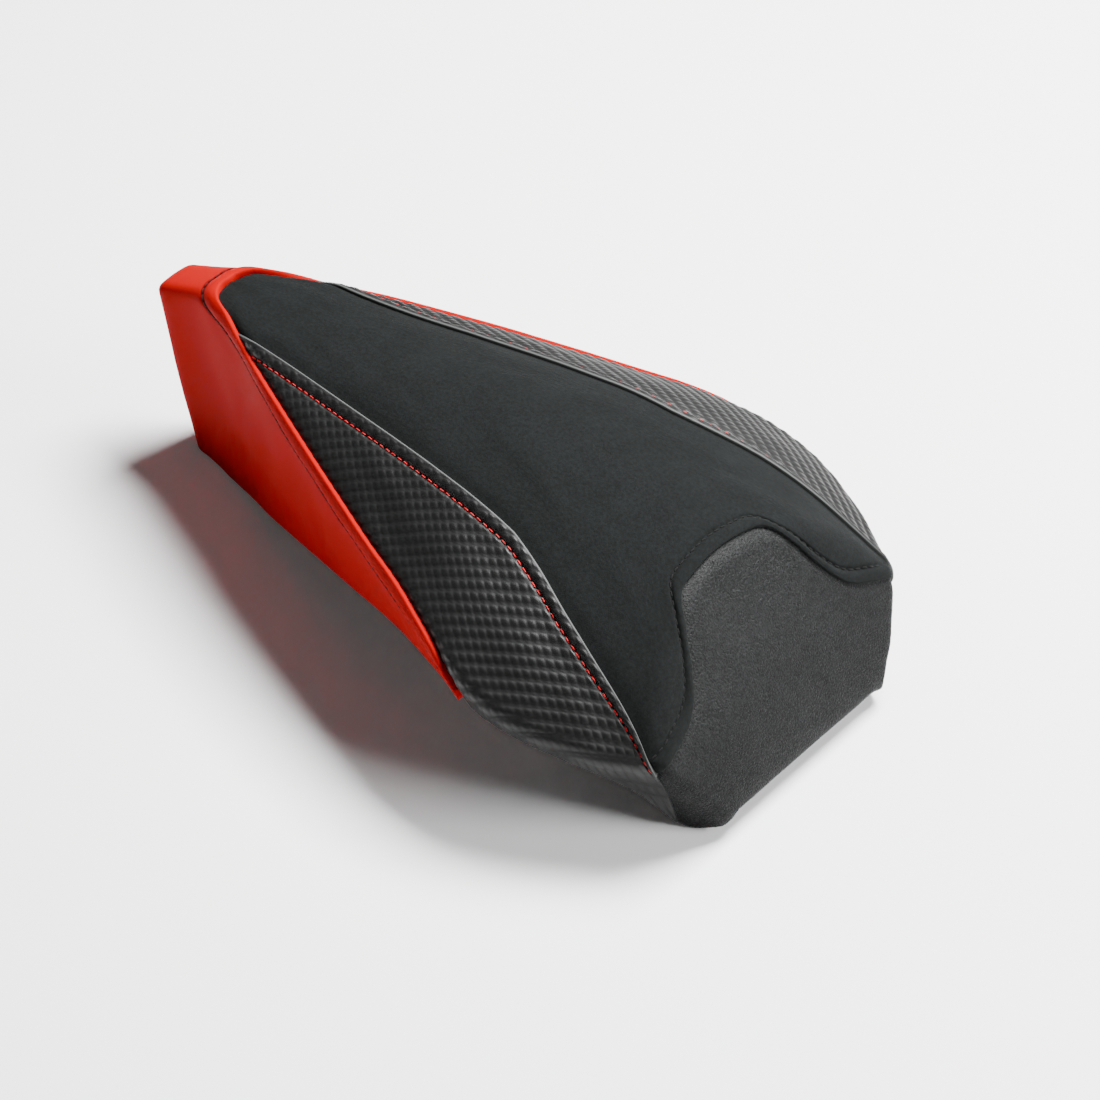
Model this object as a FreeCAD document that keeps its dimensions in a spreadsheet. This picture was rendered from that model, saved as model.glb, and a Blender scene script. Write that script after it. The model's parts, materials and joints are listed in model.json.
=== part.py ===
"""Motorcycle passenger seat: moulded pan, foam pad, five-panel stitched cover and mounting hardware.

Frame: millimetres, +X forwards (wide end, towards the rider), +Y left, +Z up, origin at the
middle of the seat's footprint. Stations are distances along X from the tail tip.
"""
import FreeCAD, Part
import math
import os

from FreeCAD import Placement, Rotation, Vector

# Driving dimensions, millimetres and degrees: each becomes a named cell of the sheet.
DRIVING = {
    "seat_length": 368.6,
    "seat_half_width": 107.5,
    "cover_thickness": 2.0,
    "cover_gap": 0.4,
    "foam_clearance": 1.8,
    "pan_clearance": 1.0,
    "pan_thickness": 3.0,
    "pan_lift": 2.4,
    "rib_depth": 6.0,
    "rib_width": 2.4,
    "bumper_radius": 10.0,
    "bumper_foot_radius": 8.0,
    "bumper_stem_radius": 3.6,
    "bumper_barb_radius": 5.2,
    "bumper_boss_radius": 13.0,
    "rear_bumper_station": 165.0,
    "rear_bumper_offset": 42.0,
    "rear_bumper_length": 11.0,
    "front_bumper_station": 262.0,
    "front_bumper_offset": 64.0,
    "front_bumper_length": 16.0,
    "stem_clearance": 0.2,
    "boss_reach": 20.0,
    "drill_reach": 30.0,
    "bumper_pocket_depth": 24.0,
    "latch_pocket_depth": 22.0,
    "latch_station": 128.0,
    "latch_pin_radius": 4.0,
    "latch_pin_length": 15.0,
    "latch_neck_radius": 2.8,
    "latch_plate_length": 46.0,
    "latch_plate_width": 30.0,
    "latch_plate_thickness": 2.5,
    "latch_boss_depth": 2.5,
    "nut_across_flats": 13.0,
    "nut_height": 6.5,
    "washer_radius": 8.0,
    "washer_thickness": 1.6,
    "hook_offset": 30.0,
    "hook_width": 22.0,
    "hook_sheet": 2.5,
    "hook_base_start": 276.0,
    "hook_leg_station": 300.0,
    "hook_tip_station": 323.0,
    "hook_base_level": 47.5,
    "hook_tongue_level": 26.5,
    "screw_radius": 2.0,
    "screw_head_radius": 4.5,
    "screw_head_height": 2.6,
    "screw_length": 7.5,
    "stitch_width": 1.3,
    "stitch_lift": 0.35,
    "stitch_height": 0.9,
    "side_stitch_inset": 6.5,
    "tail_stitch_inset": 8.5,
    "front_stitch_inset": 7.0,
    "staple_crown": 9.0,
    "staple_wire": 1.0,
    "staple_pitch": 17.0,
    "staple_inset": 8.0,
    "hem_thickness": 1.4,
}

# Shape knots as (station, value). The upper surface at a station is crown - bend * y * y.
CROWN = [(0, 83.5), (38, 96), (64, 100), (94, 101.9), (124, 104.3), (154, 107.5), (204, 111.3),
         (229, 111.5), (259, 107.7), (289, 101.6), (317, 93.6), (349, 83)]
BEND = [(4, 0.0075), (64, 0.004), (94, 0.005), (154, 0.0051), (204, 0.0044), (254, 0.0036),
        (304, 0.0039), (354, 0.0056)]
# The side wall is `width` from the centre plane at the shoulder level, and leans in below it.
WIDTH = [(4, 12.9), (32, 14.6), (64, 24.2), (97, 40.5), (135, 57.7), (174, 73.5), (209, 86.3),
         (244, 99.2), (266, 106.2), (289, 107.5), (314, 100.8), (334, 90.5), (349, 79.7), (364, 69.5)]
LEAN = [(4, 0.0), (64, 0.0), (154, 0.1), (266, 0.28), (349, 0.42), (364, 0.42)]
SHOULDER = [(4, 85), (97, 85), (154, 78), (209, 70), (266, 60), (314, 52), (349, 44), (364, 40)]
# Lower rim of the cover in side view: an arch over the tail frame, down again at the front skirt.
RIM = [(-20, 0), (49, 0), (64, 2.5), (82, 7.5), (101, 13.5), (137, 24), (171, 33.5), (205, 43),
       (229, 48), (259, 51), (289, 49.5), (314, 43), (329, 35), (337, 27), (342, 17), (346, 6),
       (350, 0.6), (354, 0), (361, 3), (367, 8.5), (390, 12)]

TAIL_FOOT, TAIL_RAKE = 19.4, 0.258          # station of the tail face at the floor, lean per mm up
NOSE_FOOT, NOSE_RAKE = 368.6, 0.144         # the same for the lower part of the front face
SLOPE_STATION, SLOPE_LEVEL, SLOPE_ANGLE = 334.0, 71.5, 53.5   # the front face's upper, sloping part
EDGE_RADIUS, TAIL_RADIUS, BROW_RADIUS, CORNER_RADIUS = 5.0, 8.0, 14.0, 4.0

# Seams as (station, distance from the centre plane, level): right-hand side, mirrored to the left.
SIDE_SEAM = [(64, 23.6, 93.6), (94, 27.5, 97.2), (148, 35.6, 100.4), (200, 43.9, 102.8), (228, 48.5, 102.4),
             (254, 53, 98.8), (268, 57, 94.5), (286, 63.5, 87), (304, 68.5, 78.1), (336, 77, 57.5),
             (349, 80, 43.9)]
TAIL_SEAM = [(38, 4.3, 96), (41, 9.5, 95.6), (57, 19.0, 95.2), (77, 30.2, 94.6), (116, 48.0, 90.7),
             (154, 64.0, 86.2), (191, 78.8, 81.2), (227, 92.6, 76.2), (249, 101.4, 69), (264, 105.3, 58)]
FRONT_SEAM = [(316, 0, 94.7), (316.5, 14, 93), (318, 26, 89.6), (327, 35, 79), (336, 42, 67), (344, 51, 56.4),
              (348, 58.6, 53), (350, 66.6, 50), (350, 74, 46.5), (349, 80, 43.9)]

AXIS_START, AXIS_END, AXIS_LEVEL = 64.0, 289.0, 38.0   # line that the surface is measured from
MAP_RADIUS = 60.0                                      # millimetres of map per radian round that line

doc = FreeCAD.newDocument("passenger_seat")
sheet = doc.addObject("Spreadsheet::Sheet", "Dimensions")
for row, (alias, value) in enumerate(DRIVING.items(), start=1):
    sheet.set("A%d" % row, alias)
    sheet.set("B%d" % row, str(value))
    sheet.setAlias("B%d" % row, alias)
doc.recompute()
nodes = []


def size(alias):
    """A driving dimension, read from the sheet."""
    return float(sheet.get(alias))


HALF_LENGTH = size("seat_length") / 2


# ---------------------------------------------------------------- the seat's surface

def through(knots, station):
    """Smooth curve through the knots (cubic, with the slopes of a parabola through three)."""
    last = len(knots) - 1
    k = 0
    while k < last - 1 and station > knots[k + 1][0]:
        k += 1

    def slope(i):
        if i == 0 or i == last:
            a, b = (0, 1) if i == 0 else (last - 1, last)
            return (knots[b][1] - knots[a][1]) / (knots[b][0] - knots[a][0])
        before, here, after = knots[i - 1], knots[i], knots[i + 1]
        h0, h1 = here[0] - before[0], after[0] - here[0]
        return ((here[1] - before[1]) / h0 * h1 + (after[1] - here[1]) / h1 * h0) / (h0 + h1)

    (x0, v0), (x1, v1) = knots[k], knots[k + 1]
    span = x1 - x0
    part = (station - x0) / span
    if part < 0:
        return v0 + slope(k) * (station - x0)
    if part > 1:
        return v1 + slope(k + 1) * (station - x1)
    square, cube = part * part, part ** 3
    return ((2 * cube - 3 * square + 1) * v0 + (cube - 2 * square + part) * span * slope(k)
            + (3 * square - 2 * cube) * v1 + (cube - square) * span * slope(k + 1))


def rim_level(station):
    """Level of the cover's lower edge; nothing reaches below the floor."""
    return max(through(RIM, station), 0.0)


def pan_level(station):
    """Level of the pan's underside, which the cover's edge is turned in under."""
    return rim_level(station) + size("pan_lift")


def rounded(a, b, radius):
    """Larger of two distances, with the edge between the two faces rounded off."""
    over = math.hypot(max(a + radius, 0), max(b + radius, 0))
    return min(max(a, b), -radius) + over


def outside(station, side, level):
    """Distance outside the seat's skin, negative inside it; the rim below is left open."""
    bend = through(BEND, station)
    top = (level - through(CROWN, station) + bend * side * side) / math.hypot(1, 2 * bend * side)
    lean = through(LEAN, station)
    wall = abs(side) - through(WIDTH, station) - lean * (level - through(SHOULDER, station))
    wall /= math.sqrt(1.15 + lean * lean)
    tail = (TAIL_FOOT - TAIL_RAKE * level - station) / math.hypot(1, TAIL_RAKE)
    nose = (station - NOSE_FOOT + NOSE_RAKE * level) / math.hypot(1, NOSE_RAKE)
    angle = math.radians(SLOPE_ANGLE)
    slope = (station - SLOPE_STATION) * math.sin(angle) + (level - SLOPE_LEVEL) * math.cos(angle)
    front = rounded(nose, slope, BROW_RADIUS)
    body = rounded(rounded(top, wall, EDGE_RADIUS), tail, TAIL_RADIUS)
    return rounded(body, front, CORNER_RADIUS)


def march(start, direction, proud):
    """Point where the line from start leaves the skin grown by `proud`; found by halving."""
    near, far = 1.0, 230.0
    for _ in range(34):
        middle = (near + far) / 2
        here = start + direction * middle
        if outside(here.x, here.y, here.z) < proud:
            near = middle
        else:
            far = middle
    return start + direction * near


def to_map(station, side, level):
    """Place on the flat map of the skin: along and across, by angle round the axis line."""
    foot = min(max(station, AXIS_START), AXIS_END)
    along = station - foot
    flat = math.hypot(along, side)
    if flat < 1e-9:
        return foot, 0.0
    reach = MAP_RADIUS * math.atan2(flat, level - AXIS_LEVEL) / flat
    return foot + along * reach, side * reach


def from_map(place, proud=0.0):
    """Point of the skin for a place on the map, in stations."""
    foot = min(max(place[0], AXIS_START), AXIS_END)
    along, across = place[0] - foot, place[1]
    flat = math.hypot(along, across)
    turn = flat / MAP_RADIUS
    scale = math.sin(turn) / flat if flat > 1e-9 else 0.0
    start = Vector(foot, 0, AXIS_LEVEL)
    return march(start, Vector(along * scale, across * scale, math.cos(turn)), proud)


def to_part(point):
    """Stations to the part's own X."""
    return Vector(point.x - HALF_LENGTH, point.y, point.z)


def rim_side(station, proud=0.0, level=None):
    """Distance from the centre plane to the skin at the rim, or at a given level."""
    level = rim_level(station) if level is None else level
    return march(Vector(station, 0, level), Vector(0, 1, 0), proud).y


# ---------------------------------------------------------------- lines and patches on the map

def resample(points, count):
    """Count places evenly spaced along a smooth line through the given places."""
    length = [0.0]
    for before, after in zip(points, points[1:]):
        length.append(length[-1] + math.dist(before, after))
    along = [(d, p[0]) for d, p in zip(length, points)]
    across = [(d, p[1]) for d, p in zip(length, points)]
    stops = [length[-1] * i / (count - 1) for i in range(count)]
    return [(through(along, d), through(across, d)) for d in stops]


def mirrored(points):
    return [(station, -side, level) for station, side, level in points]


def rim_points(first, final, count, hand):
    """Points of the rim between two stations on one hand (+1 left, -1 right)."""
    stations = [first + (final - first) * i / (count - 1) for i in range(count)]
    return [(s, hand * rim_side(s), rim_level(s)) for s in stations]


def tail_rim_points(count):
    """Rim round the tail, from the right-hand corner to the left-hand one, at floor level."""
    points = []
    for i in range(count):
        angle = math.radians(-90 + 180 * i / (count - 1))
        ray = Vector(-math.cos(angle), math.sin(angle), 0)
        p = march(Vector(34, 0, 0), ray, 0.0)
        points.append((p.x, p.y, 0.4))
    return points


def nose_rim_points(count):
    """Rim round the front, from the right-hand corner to the left-hand one."""
    points = []
    for i in range(count):
        angle = math.radians(-84 + 168 * i / (count - 1))
        ray = Vector(math.cos(angle), math.sin(angle), 0)
        p = march(Vector(341, 0, 4), ray, 0.0)
        points.append((p.x, p.y, rim_level(p.x)))
    return points


def on_map(points, count):
    return resample([to_map(*p) for p in points], count)


def coons(start_side, end_side, first_end, last_end):
    """Map places filling the region between two long sides and two ends."""
    rows, columns = len(start_side), len(first_end)
    grid = []
    for i in range(rows):
        u = i / (rows - 1)
        row = []
        for j in range(columns):
            v = j / (columns - 1)
            place = []
            for k in (0, 1):
                sides = (1 - v) * start_side[i][k] + v * end_side[i][k]
                ends = (1 - u) * first_end[j][k] + u * last_end[j][k]
                corners = ((1 - u) * ((1 - v) * first_end[0][k] + v * first_end[-1][k])
                           + u * ((1 - v) * last_end[0][k] + v * last_end[-1][k]))
                place.append(sides + ends - corners)
            row.append(tuple(place))
        grid.append(row)
    return grid


def drawn_in(grid, gap):
    """The same grid with its outer rows moved in by the gap, so that panels don't overlap."""
    def nudge(edge, inner):
        step = math.dist(edge, inner)
        part = min(gap / step, 0.3) if step > 1e-6 else 0.0
        return tuple(e + (i - e) * part for e, i in zip(edge, inner))

    grid = [row[:] for row in grid]
    for edge, inner in ((0, 1), (-1, -2)):
        grid[edge] = [nudge(e, i) for e, i in zip(grid[edge], grid[inner])]
        for row in grid:
            row[edge] = nudge(row[edge], row[inner])
    return grid


def clamped(count, degree=3):
    """Knots and multiplicities of a spline that starts and ends on its first and last poles."""
    inside = count - degree - 1
    return [degree + 1] + [1] * inside + [degree + 1], [float(i) for i in range(inside + 2)]


def control_curve(points):
    """Cubic spline with the points as its poles: smooth, and never outside their outline."""
    mults, knots = clamped(len(points))
    curve = Part.BSplineCurve()
    curve.buildFromPolesMultsKnots(points, mults, knots, False, 3)
    return curve


def control_surface(rows):
    """Cubic surface with the grid's points as its poles."""
    across = min(3, len(rows[0]) - 1)
    u_mults, u_knots = clamped(len(rows))
    v_mults, v_knots = clamped(len(rows[0]), across)
    surface = Part.BSplineSurface()
    surface.buildFromPolesMultsKnots(rows, u_mults, v_mults, u_knots, v_knots, False, False, 3, across)
    return surface


def patch_solid(grid, inner, outer):
    """Closed solid over the map grid, between two distances from the skin."""
    def skin(proud):
        return control_surface([[to_part(from_map(place, proud)) for place in row] for row in grid])

    low, high = skin(inner), skin(outer)
    faces = [low.toShape(), high.toShape()]
    for curve in ("uIso", "vIso"):
        limits = low.bounds()[:2] if curve == "uIso" else low.bounds()[2:]
        other = high.bounds()[:2] if curve == "uIso" else high.bounds()[2:]
        for at, above in zip(limits, other):
            edges = [getattr(low, curve)(at).toShape(), getattr(high, curve)(above).toShape()]
            faces.append(Part.makeRuledSurface(*edges))
    shell = Part.Compound(faces)
    shell.sewShape(0.01)
    solid = Part.Solid(Part.Shell(shell.Faces) if not shell.Shells else shell.Shells[0])
    if solid.Volume < 0:
        solid.reverse()
    return solid


# ---------------------------------------------------------------- document objects

def keep(thing, label):
    """Name a finished sub-part and list it for export."""
    thing.Label = label
    nodes.append(thing)
    return thing


def feature(name, shape, placement=None):
    thing = doc.addObject("Part::Feature", name)
    thing.Shape = shape
    if placement is not None:
        thing.Placement = placement
    return thing


def bound(thing, **expressions):
    for prop, expression in expressions.items():
        thing.setExpression(prop, expression)
    return thing


def cylinder(name, radius, height, placement):
    """Cylinder whose radius and height are expressions on the sheet."""
    thing = bound(doc.addObject("Part::Cylinder", name), Radius=radius, Height=height)
    thing.Placement = placement
    return thing


def box(name, low, high):
    """Box between two corners given as (station, side, level)."""
    thing = doc.addObject("Part::Box", name)
    thing.Length, thing.Width, thing.Height = (b - a for a, b in zip(low, high))
    thing.Placement.Base = Vector(low[0] - HALF_LENGTH, low[1], low[2])
    return thing


def fuse(name, things):
    thing = doc.addObject("Part::MultiFuse", name)
    thing.Shapes = things
    return thing


def common(name, things):
    thing = doc.addObject("Part::MultiCommon", name)
    thing.Shapes = things
    return thing


def cut(name, base, tool):
    thing = doc.addObject("Part::Cut", name)
    thing.Base, thing.Tool = base, tool
    return thing


def at(station, side, level):
    return Placement(Vector(station - HALF_LENGTH, side, level), Rotation())


def body_with_sketch(name, role, points):
    """A body with one closed straight-sided sketch on the origin plane of that role."""
    body = doc.addObject("PartDesign::Body", name)
    plane = next(f for f in body.Origin.OriginFeatures if f.Role == role)
    sketch = body.newObject("Sketcher::SketchObject", name + "_sketch")
    sketch.AttachmentSupport = [(plane, "")]
    sketch.MapMode = "FlatFace"
    corners = [Vector(a, b, 0) for a, b in points]
    for here, there in zip(corners, corners[1:] + corners[:1]):
        sketch.addGeometry(Part.LineSegment(here, there), False)
    return body, sketch


def turned(name, points):
    """Body of revolution about its own Z, from (radius, level) corners."""
    body, sketch = body_with_sketch(name, "XZ_Plane", points)
    spin = body.newObject("PartDesign::Revolution", name + "_turn")
    spin.Profile = sketch
    spin.ReferenceAxis = (sketch, ["V_Axis"])
    spin.Angle = 360
    return body


# ---------------------------------------------------------------- seat pan

def arch_band(name, low, high):
    """The pan's side view between two offsets from its underside, carried across the seat."""
    fine = [-5.0 + 5.0 * i for i in range(67)] + [330.0 + 1.5 * i for i in range(32)]

    def line(offset):
        return control_curve([Vector(s - HALF_LENGTH, 0, pan_level(s) + offset) for s in fine]).toShape()

    lower, upper = line(low), line(high)
    ends = [Part.makeLine(lower.Vertexes[i].Point, upper.Vertexes[i].Point) for i in (0, -1)]
    outline = Part.Wire(Part.__sortEdges__([lower, ends[1], upper, ends[0]]))
    flat = feature(name + "_side_view", Part.Face(outline))
    band = doc.addObject("Part::Extrusion", name)
    band.Base = flat
    band.DirMode = "Custom"
    band.Dir = Vector(0, 1, 0)
    band.Symmetric = True
    band.Solid = True
    return bound(band, LengthFwd="Dimensions.seat_half_width * 2 + 20")


def level_outline(level, proud):
    """Closed outline of the skin at one level, seen from above."""
    start, end = 40.0, 300.0
    rays = []
    for i in range(7):
        angle = math.radians(90 + 180 * i / 6)
        rays.append((start, math.cos(angle), math.sin(angle)))
    for i in range(1, 12):
        rays.append((start + (end - start) * i / 12, 0.0, -1.0))
    for i in range(13):
        angle = math.radians(-90 + 180 * i / 12)
        rays.append((end, math.cos(angle), math.sin(angle)))
    for i in range(11, 0, -1):
        rays.append((start + (end - start) * i / 12, 0.0, 1.0))
    points = [to_part(march(Vector(s, 0, level), Vector(c, w, 0), proud)) for s, c, w in rays]
    curve = Part.BSplineCurve()
    curve.interpolate(points, PeriodicFlag=True)
    return Part.Wire(curve.toShape())


def inner_block():
    """Space inside the cover's walls, from the floor to the level of the widest part."""
    proud = -size("cover_thickness") - size("pan_clearance")
    wires = [level_outline(level, proud) for level in (-3, 8, 20, 30, 40, 48, 56)]
    return feature("inside_of_walls", Part.makeLoft(wires, True, True))


def bumper_sites():
    """Name, station, side, boss level and length of each of the four bumpers."""
    sites = []
    for end in ("rear", "front"):
        station = size(end + "_bumper_station")
        reach = size("bumper_boss_radius")
        level = min(pan_level(station + d) for d in (-reach, 0, reach)) - 1.5
        for hand, sign in (("left", 1), ("right", -1)):
            side = sign * size(end + "_bumper_offset")
            sites.append(("%s_%s" % (end, hand), station, side, level, size(end + "_bumper_length")))
    return sites


def latch_frame():
    """Placement of the latch on the pan's slope: its Z points up, square to the pan."""
    station = size("latch_station")
    rise = (pan_level(station + 15) - pan_level(station - 15)) / 30
    tilt = Rotation(Vector(0, 1, 0), -math.degrees(math.atan(rise)))
    base = Vector(station - HALF_LENGTH, 0, pan_level(station))
    return Placement(base, tilt)


def hook_screw_sites():
    """Station, side of each hook screw."""
    start, end = size("hook_base_start"), size("hook_leg_station")
    stations = (start + 6, end - 8)
    return [(s, hand * size("hook_offset")) for hand in (1, -1) for s in stations]


def seat_pan():
    """Moulded pan: arched plate with ribs and bosses under it, holes through it."""
    plate = arch_band("pan_plate", 0.0, size("pan_thickness"))
    trim = arch_band("pan_trim", -18.0, size("pan_thickness"))
    rib_band = arch_band("rib_band", -size("rib_depth"), 1.0)
    half = size("rib_width") / 2
    bars = [box("rib_along_%d" % i, (158, y - half, -20), (333, y + half, 70))
            for i, y in enumerate((-12, 12))]
    for i, station in enumerate((92, 190, 220, 243)):
        reach = rim_side(station) - 16
        bars.append(box("rib_across_%d" % i, (station - half, -reach, -20), (station + half, reach, 70)))
    ribs = common("pan_ribs", [fuse("rib_bars", bars), rib_band])

    bosses = []
    for name, station, side, level, _ in bumper_sites():
        bosses.append(cylinder("boss_" + name, "Dimensions.bumper_boss_radius", "Dimensions.boss_reach",
                               at(station, side, level)))
    for hand in (1, -1):
        reach = size("hook_width") / 2 + 3
        side = hand * size("hook_offset")
        low = (size("hook_base_start") - 2, side - reach, size("hook_base_level"))
        high = (size("hook_leg_station") + 3, side + reach, size("hook_base_level") + 6)
        bosses.append(box("hook_boss", low, high))
    pad = doc.addObject("Part::Box", "latch_boss")
    bound(pad, Length="Dimensions.latch_plate_length + 8", Width="Dimensions.latch_plate_width + 4")
    bound(pad, Height="Dimensions.latch_boss_depth + 1")
    corner = Vector(-size("latch_plate_length") / 2 - 4, -size("latch_plate_width") / 2 - 2,
                    -size("latch_boss_depth"))
    pad.Placement = latch_frame() * Placement(corner, Rotation())
    bosses.append(pad)

    trimmed = common("pan_bosses", [fuse("all_bosses", bosses), trim])
    block = inner_block()
    solid = common("pan_blank", [fuse("pan_parts", [plate, ribs, trimmed]), block])

    holes = []
    for name, station, side, level, _ in bumper_sites():
        radius = "Dimensions.bumper_stem_radius + Dimensions.stem_clearance"
        holes.append(cylinder("stem_hole_" + name, radius, "Dimensions.drill_reach",
                              at(station, side, level - 5)))
    for i, (station, side) in enumerate(hook_screw_sites()):
        radius = "Dimensions.screw_radius + 0.05"
        level = size("hook_base_level") - 5
        holes.append(cylinder("screw_hole_%d" % i, radius, "Dimensions.drill_reach",
                              at(station, side, level)))
    pin_hole = cylinder("pin_hole", "Dimensions.latch_pin_radius + Dimensions.stem_clearance",
                        "Dimensions.drill_reach", latch_frame() * Placement(Vector(0, 0, -15), Rotation()))
    return cut("seat_pan", solid, fuse("pan_holes", holes + [pin_hole]))


# ---------------------------------------------------------------- foam

def foam_section(station, proud, floor):
    """Section of the foam across the seat: a crown over a flat underside."""
    points = []
    for i in range(17):
        angle = math.radians(-90 + 180 * i / 16)
        ray = Vector(0, math.sin(angle), math.cos(angle))
        points.append(to_part(march(Vector(station, 0, floor), ray, proud)))
    crown = Part.BSplineCurve()
    crown.interpolate(points)
    return Part.Wire([crown.toShape(), Part.makeLine(points[-1], points[0])])


def foam_cushion():
    """Foam pad: sections joined along the seat, with pockets over the fasteners."""
    proud = -size("cover_thickness") - size("foam_clearance")
    lift = size("pan_lift") + size("pan_thickness") + 0.6
    stations = [7, 9, 12, 17, 23, 32, 44, 60, 78, 98, 120, 145, 170, 195, 220, 245, 268, 288, 304,
                314, 322, 329, 335, 339.5, 343, 346, 349.5, 354, 358, 361.5, 364.5]
    wires = []
    for station in stations:
        under_tail = (TAIL_FOOT - proud - station) / TAIL_RAKE
        floor = max(rim_level(station) + lift, under_tail + 1.0)
        wires.append(foam_section(station, proud, floor))
    blank = feature("foam_blank", Part.makeLoft(wires, True, True))

    pockets = []
    for name, station, side, level, _ in bumper_sites():
        pockets.append(cylinder("pocket_" + name, "Dimensions.bumper_barb_radius + 1.5",
                                "Dimensions.bumper_pocket_depth", at(station, side, level - 2)))
    latch = latch_frame() * Placement(Vector(0, 0, -4), Rotation())
    pockets.append(cylinder("pocket_latch", "Dimensions.washer_radius + 2",
                            "Dimensions.latch_pocket_depth", latch))
    return cut("foam_cushion", blank, fuse("foam_pockets", pockets))


# ---------------------------------------------------------------- cover

def cover_lines():
    """Seams and rims on the map, named by panel edge."""
    tail_right, side_right = mirrored(TAIL_SEAM), mirrored(SIDE_SEAM)
    upto = [p for p in tail_right if p[0] < 60]
    rim_right = rim_points(276, 342, 9, -1)
    return {
        "centre_right": upto + side_right,
        "centre_left": mirrored(upto + side_right),
        "centre_tail": [tail_right[0], (tail_right[0][0], 0.0, 96.3), TAIL_SEAM[0]],
        "front": mirrored(FRONT_SEAM)[::-1] + FRONT_SEAM[1:],
        "side_right": side_right,
        "outer_right": [side_right[0]] + [p for p in tail_right if p[0] > 70] + rim_right,
        "rim_right": rim_right,
    }


def cover_panels():
    """The five panels that are sewn into one cover, as separate closed skins."""
    lines = cover_lines()
    gap = size("cover_gap")
    inner, outer = -size("cover_thickness"), 0.0

    centre = coons(on_map(lines["centre_right"], 25), on_map(lines["centre_left"], 25),
                   on_map(lines["centre_tail"], 21), on_map(lines["front"], 21))
    keep(feature("cover_centre", patch_solid(drawn_in(centre, gap), inner, outer)), "cover_centre")

    side = on_map(lines["side_right"], 25)
    under = on_map(lines["outer_right"], 25)
    first = [tuple(a + (b - a) * j / 8 for a, b in zip(side[0], under[0])) for j in range(9)]
    last = [tuple(a + (b - a) * j / 8 for a, b in zip(side[-1], under[-1])) for j in range(9)]
    flank = drawn_in(coons(side, under, first, last)[1:], gap)
    flipped = [[(p[0], -p[1]) for p in row] for row in flank]
    keep(feature("cover_side_right", patch_solid(flank, inner, outer)), "cover_side_right")
    keep(feature("cover_side_left", patch_solid(flipped, inner, outer)), "cover_side_left")

    right, left = mirrored(TAIL_SEAM)[::-1], TAIL_SEAM
    round_tip = [p for p in right if p[0] < 60] + [(38, 0.0, 96.3)] + [p for p in left if p[0] < 60]
    flank_seam = [p for p in left if p[0] > 56]
    flank_rim = on_map(rim_points(49, 264, 80, 1), 21)
    tip_rim = rim_points(49, 34, 8, -1)[:-1] + tail_rim_points(25) + rim_points(34, 49, 8, 1)[1:]
    flank = on_map(flank_seam, 21)
    inside = [(a, -b) for a, b in flank[::-1]] + on_map(round_tip, 33)[1:-1] + flank
    below = [(a, -b) for a, b in flank_rim[::-1]] + on_map(tip_rim, 33)[1:-1] + flank_rim
    ends = [[tuple(a + (b - a) * j / 16 for a, b in zip(inside[i], below[i])) for j in range(17)]
            for i in (0, -1)]
    tail = coons(inside, below, *ends)
    keep(feature("cover_tail", patch_solid(drawn_in(tail[1:-1], gap), inner, outer)), "cover_tail")

    top = on_map(lines["front"], 33)
    foot = on_map(nose_rim_points(21), 33)
    ends = [[tuple(a + (b - a) * j / 10 for a, b in zip(top[i], foot[i])) for j in range(11)]
            for i in (0, -1)]
    front = coons(top, foot, *ends)
    keep(feature("cover_front", patch_solid(drawn_in(front, gap), inner, outer)), "cover_front")


def beside(points, inset, count, hand):
    """Line on the map that keeps a distance from another, to its left (+1) or right (-1)."""
    line = on_map(points, count)
    result = []
    for i, place in enumerate(line):
        before, after = line[max(i - 1, 0)], line[min(i + 1, count - 1)]
        along, across = after[0] - before[0], after[1] - before[1]
        run = math.hypot(along, across)
        skin = from_map(place)
        foot = min(max(skin.x, AXIS_START), AXIS_END)
        radius = math.dist((skin.x, skin.y, skin.z), (foot, 0, AXIS_LEVEL))
        move = hand * inset * MAP_RADIUS / radius / run
        result.append((place[0] - across * move, place[1] + along * move))
    return result


def stitch_line(label, points, inset, hand, count, trim=0):
    """Thread of one topstitched seam: a low strip that lies on the cover."""
    half = size("stitch_width") / 2
    rows = [beside(points, inset + d, count, hand) for d in (-half, 0.0, half)]
    grid = [list(column) for column in zip(*rows)][trim:count - trim]
    return keep(feature(label, patch_solid(grid, size("stitch_lift"), size("stitch_height"))), label)


def stitches():
    """The four lines of topstitching, each one node."""
    side = mirrored(SIDE_SEAM)
    inset = size("side_stitch_inset")
    stitch_line("stitch_side_right", side, inset, -1, 32, 1)
    stitch_line("stitch_side_left", SIDE_SEAM, inset, 1, 32, 1)
    tail = mirrored(TAIL_SEAM[:8])[::-1] + TAIL_SEAM[:8]
    stitch_line("stitch_tail", tail, size("tail_stitch_inset"), 1, 48)
    front = mirrored(FRONT_SEAM)[::-1] + FRONT_SEAM[1:]
    stitch_line("stitch_front", front, size("front_stitch_inset"), 1, 60, 2)


# ---------------------------------------------------------------- hardware

def bumper(name, station, side, level, length):
    """Rubber bumper pushed into the pan: foot, body, stem and a barb above the pan."""
    foot, wide = size("bumper_foot_radius"), size("bumper_radius")
    stem, barb = size("bumper_stem_radius"), size("bumper_barb_radius")
    above = pan_level(station) + size("pan_thickness") - level
    high = above + 2.2
    points = [(0, -length), (foot, -length), (foot + 1, -length + 1), (wide, -2.5), (wide, 0),
              (stem, 0), (stem, high), (barb, high), (barb, high + 1), (stem - 1, high + 4), (0, high + 4)]
    body = turned("bumper_" + name, points)
    body.Placement = at(station, side, level)
    return keep(body, "bumper_" + name)


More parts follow.
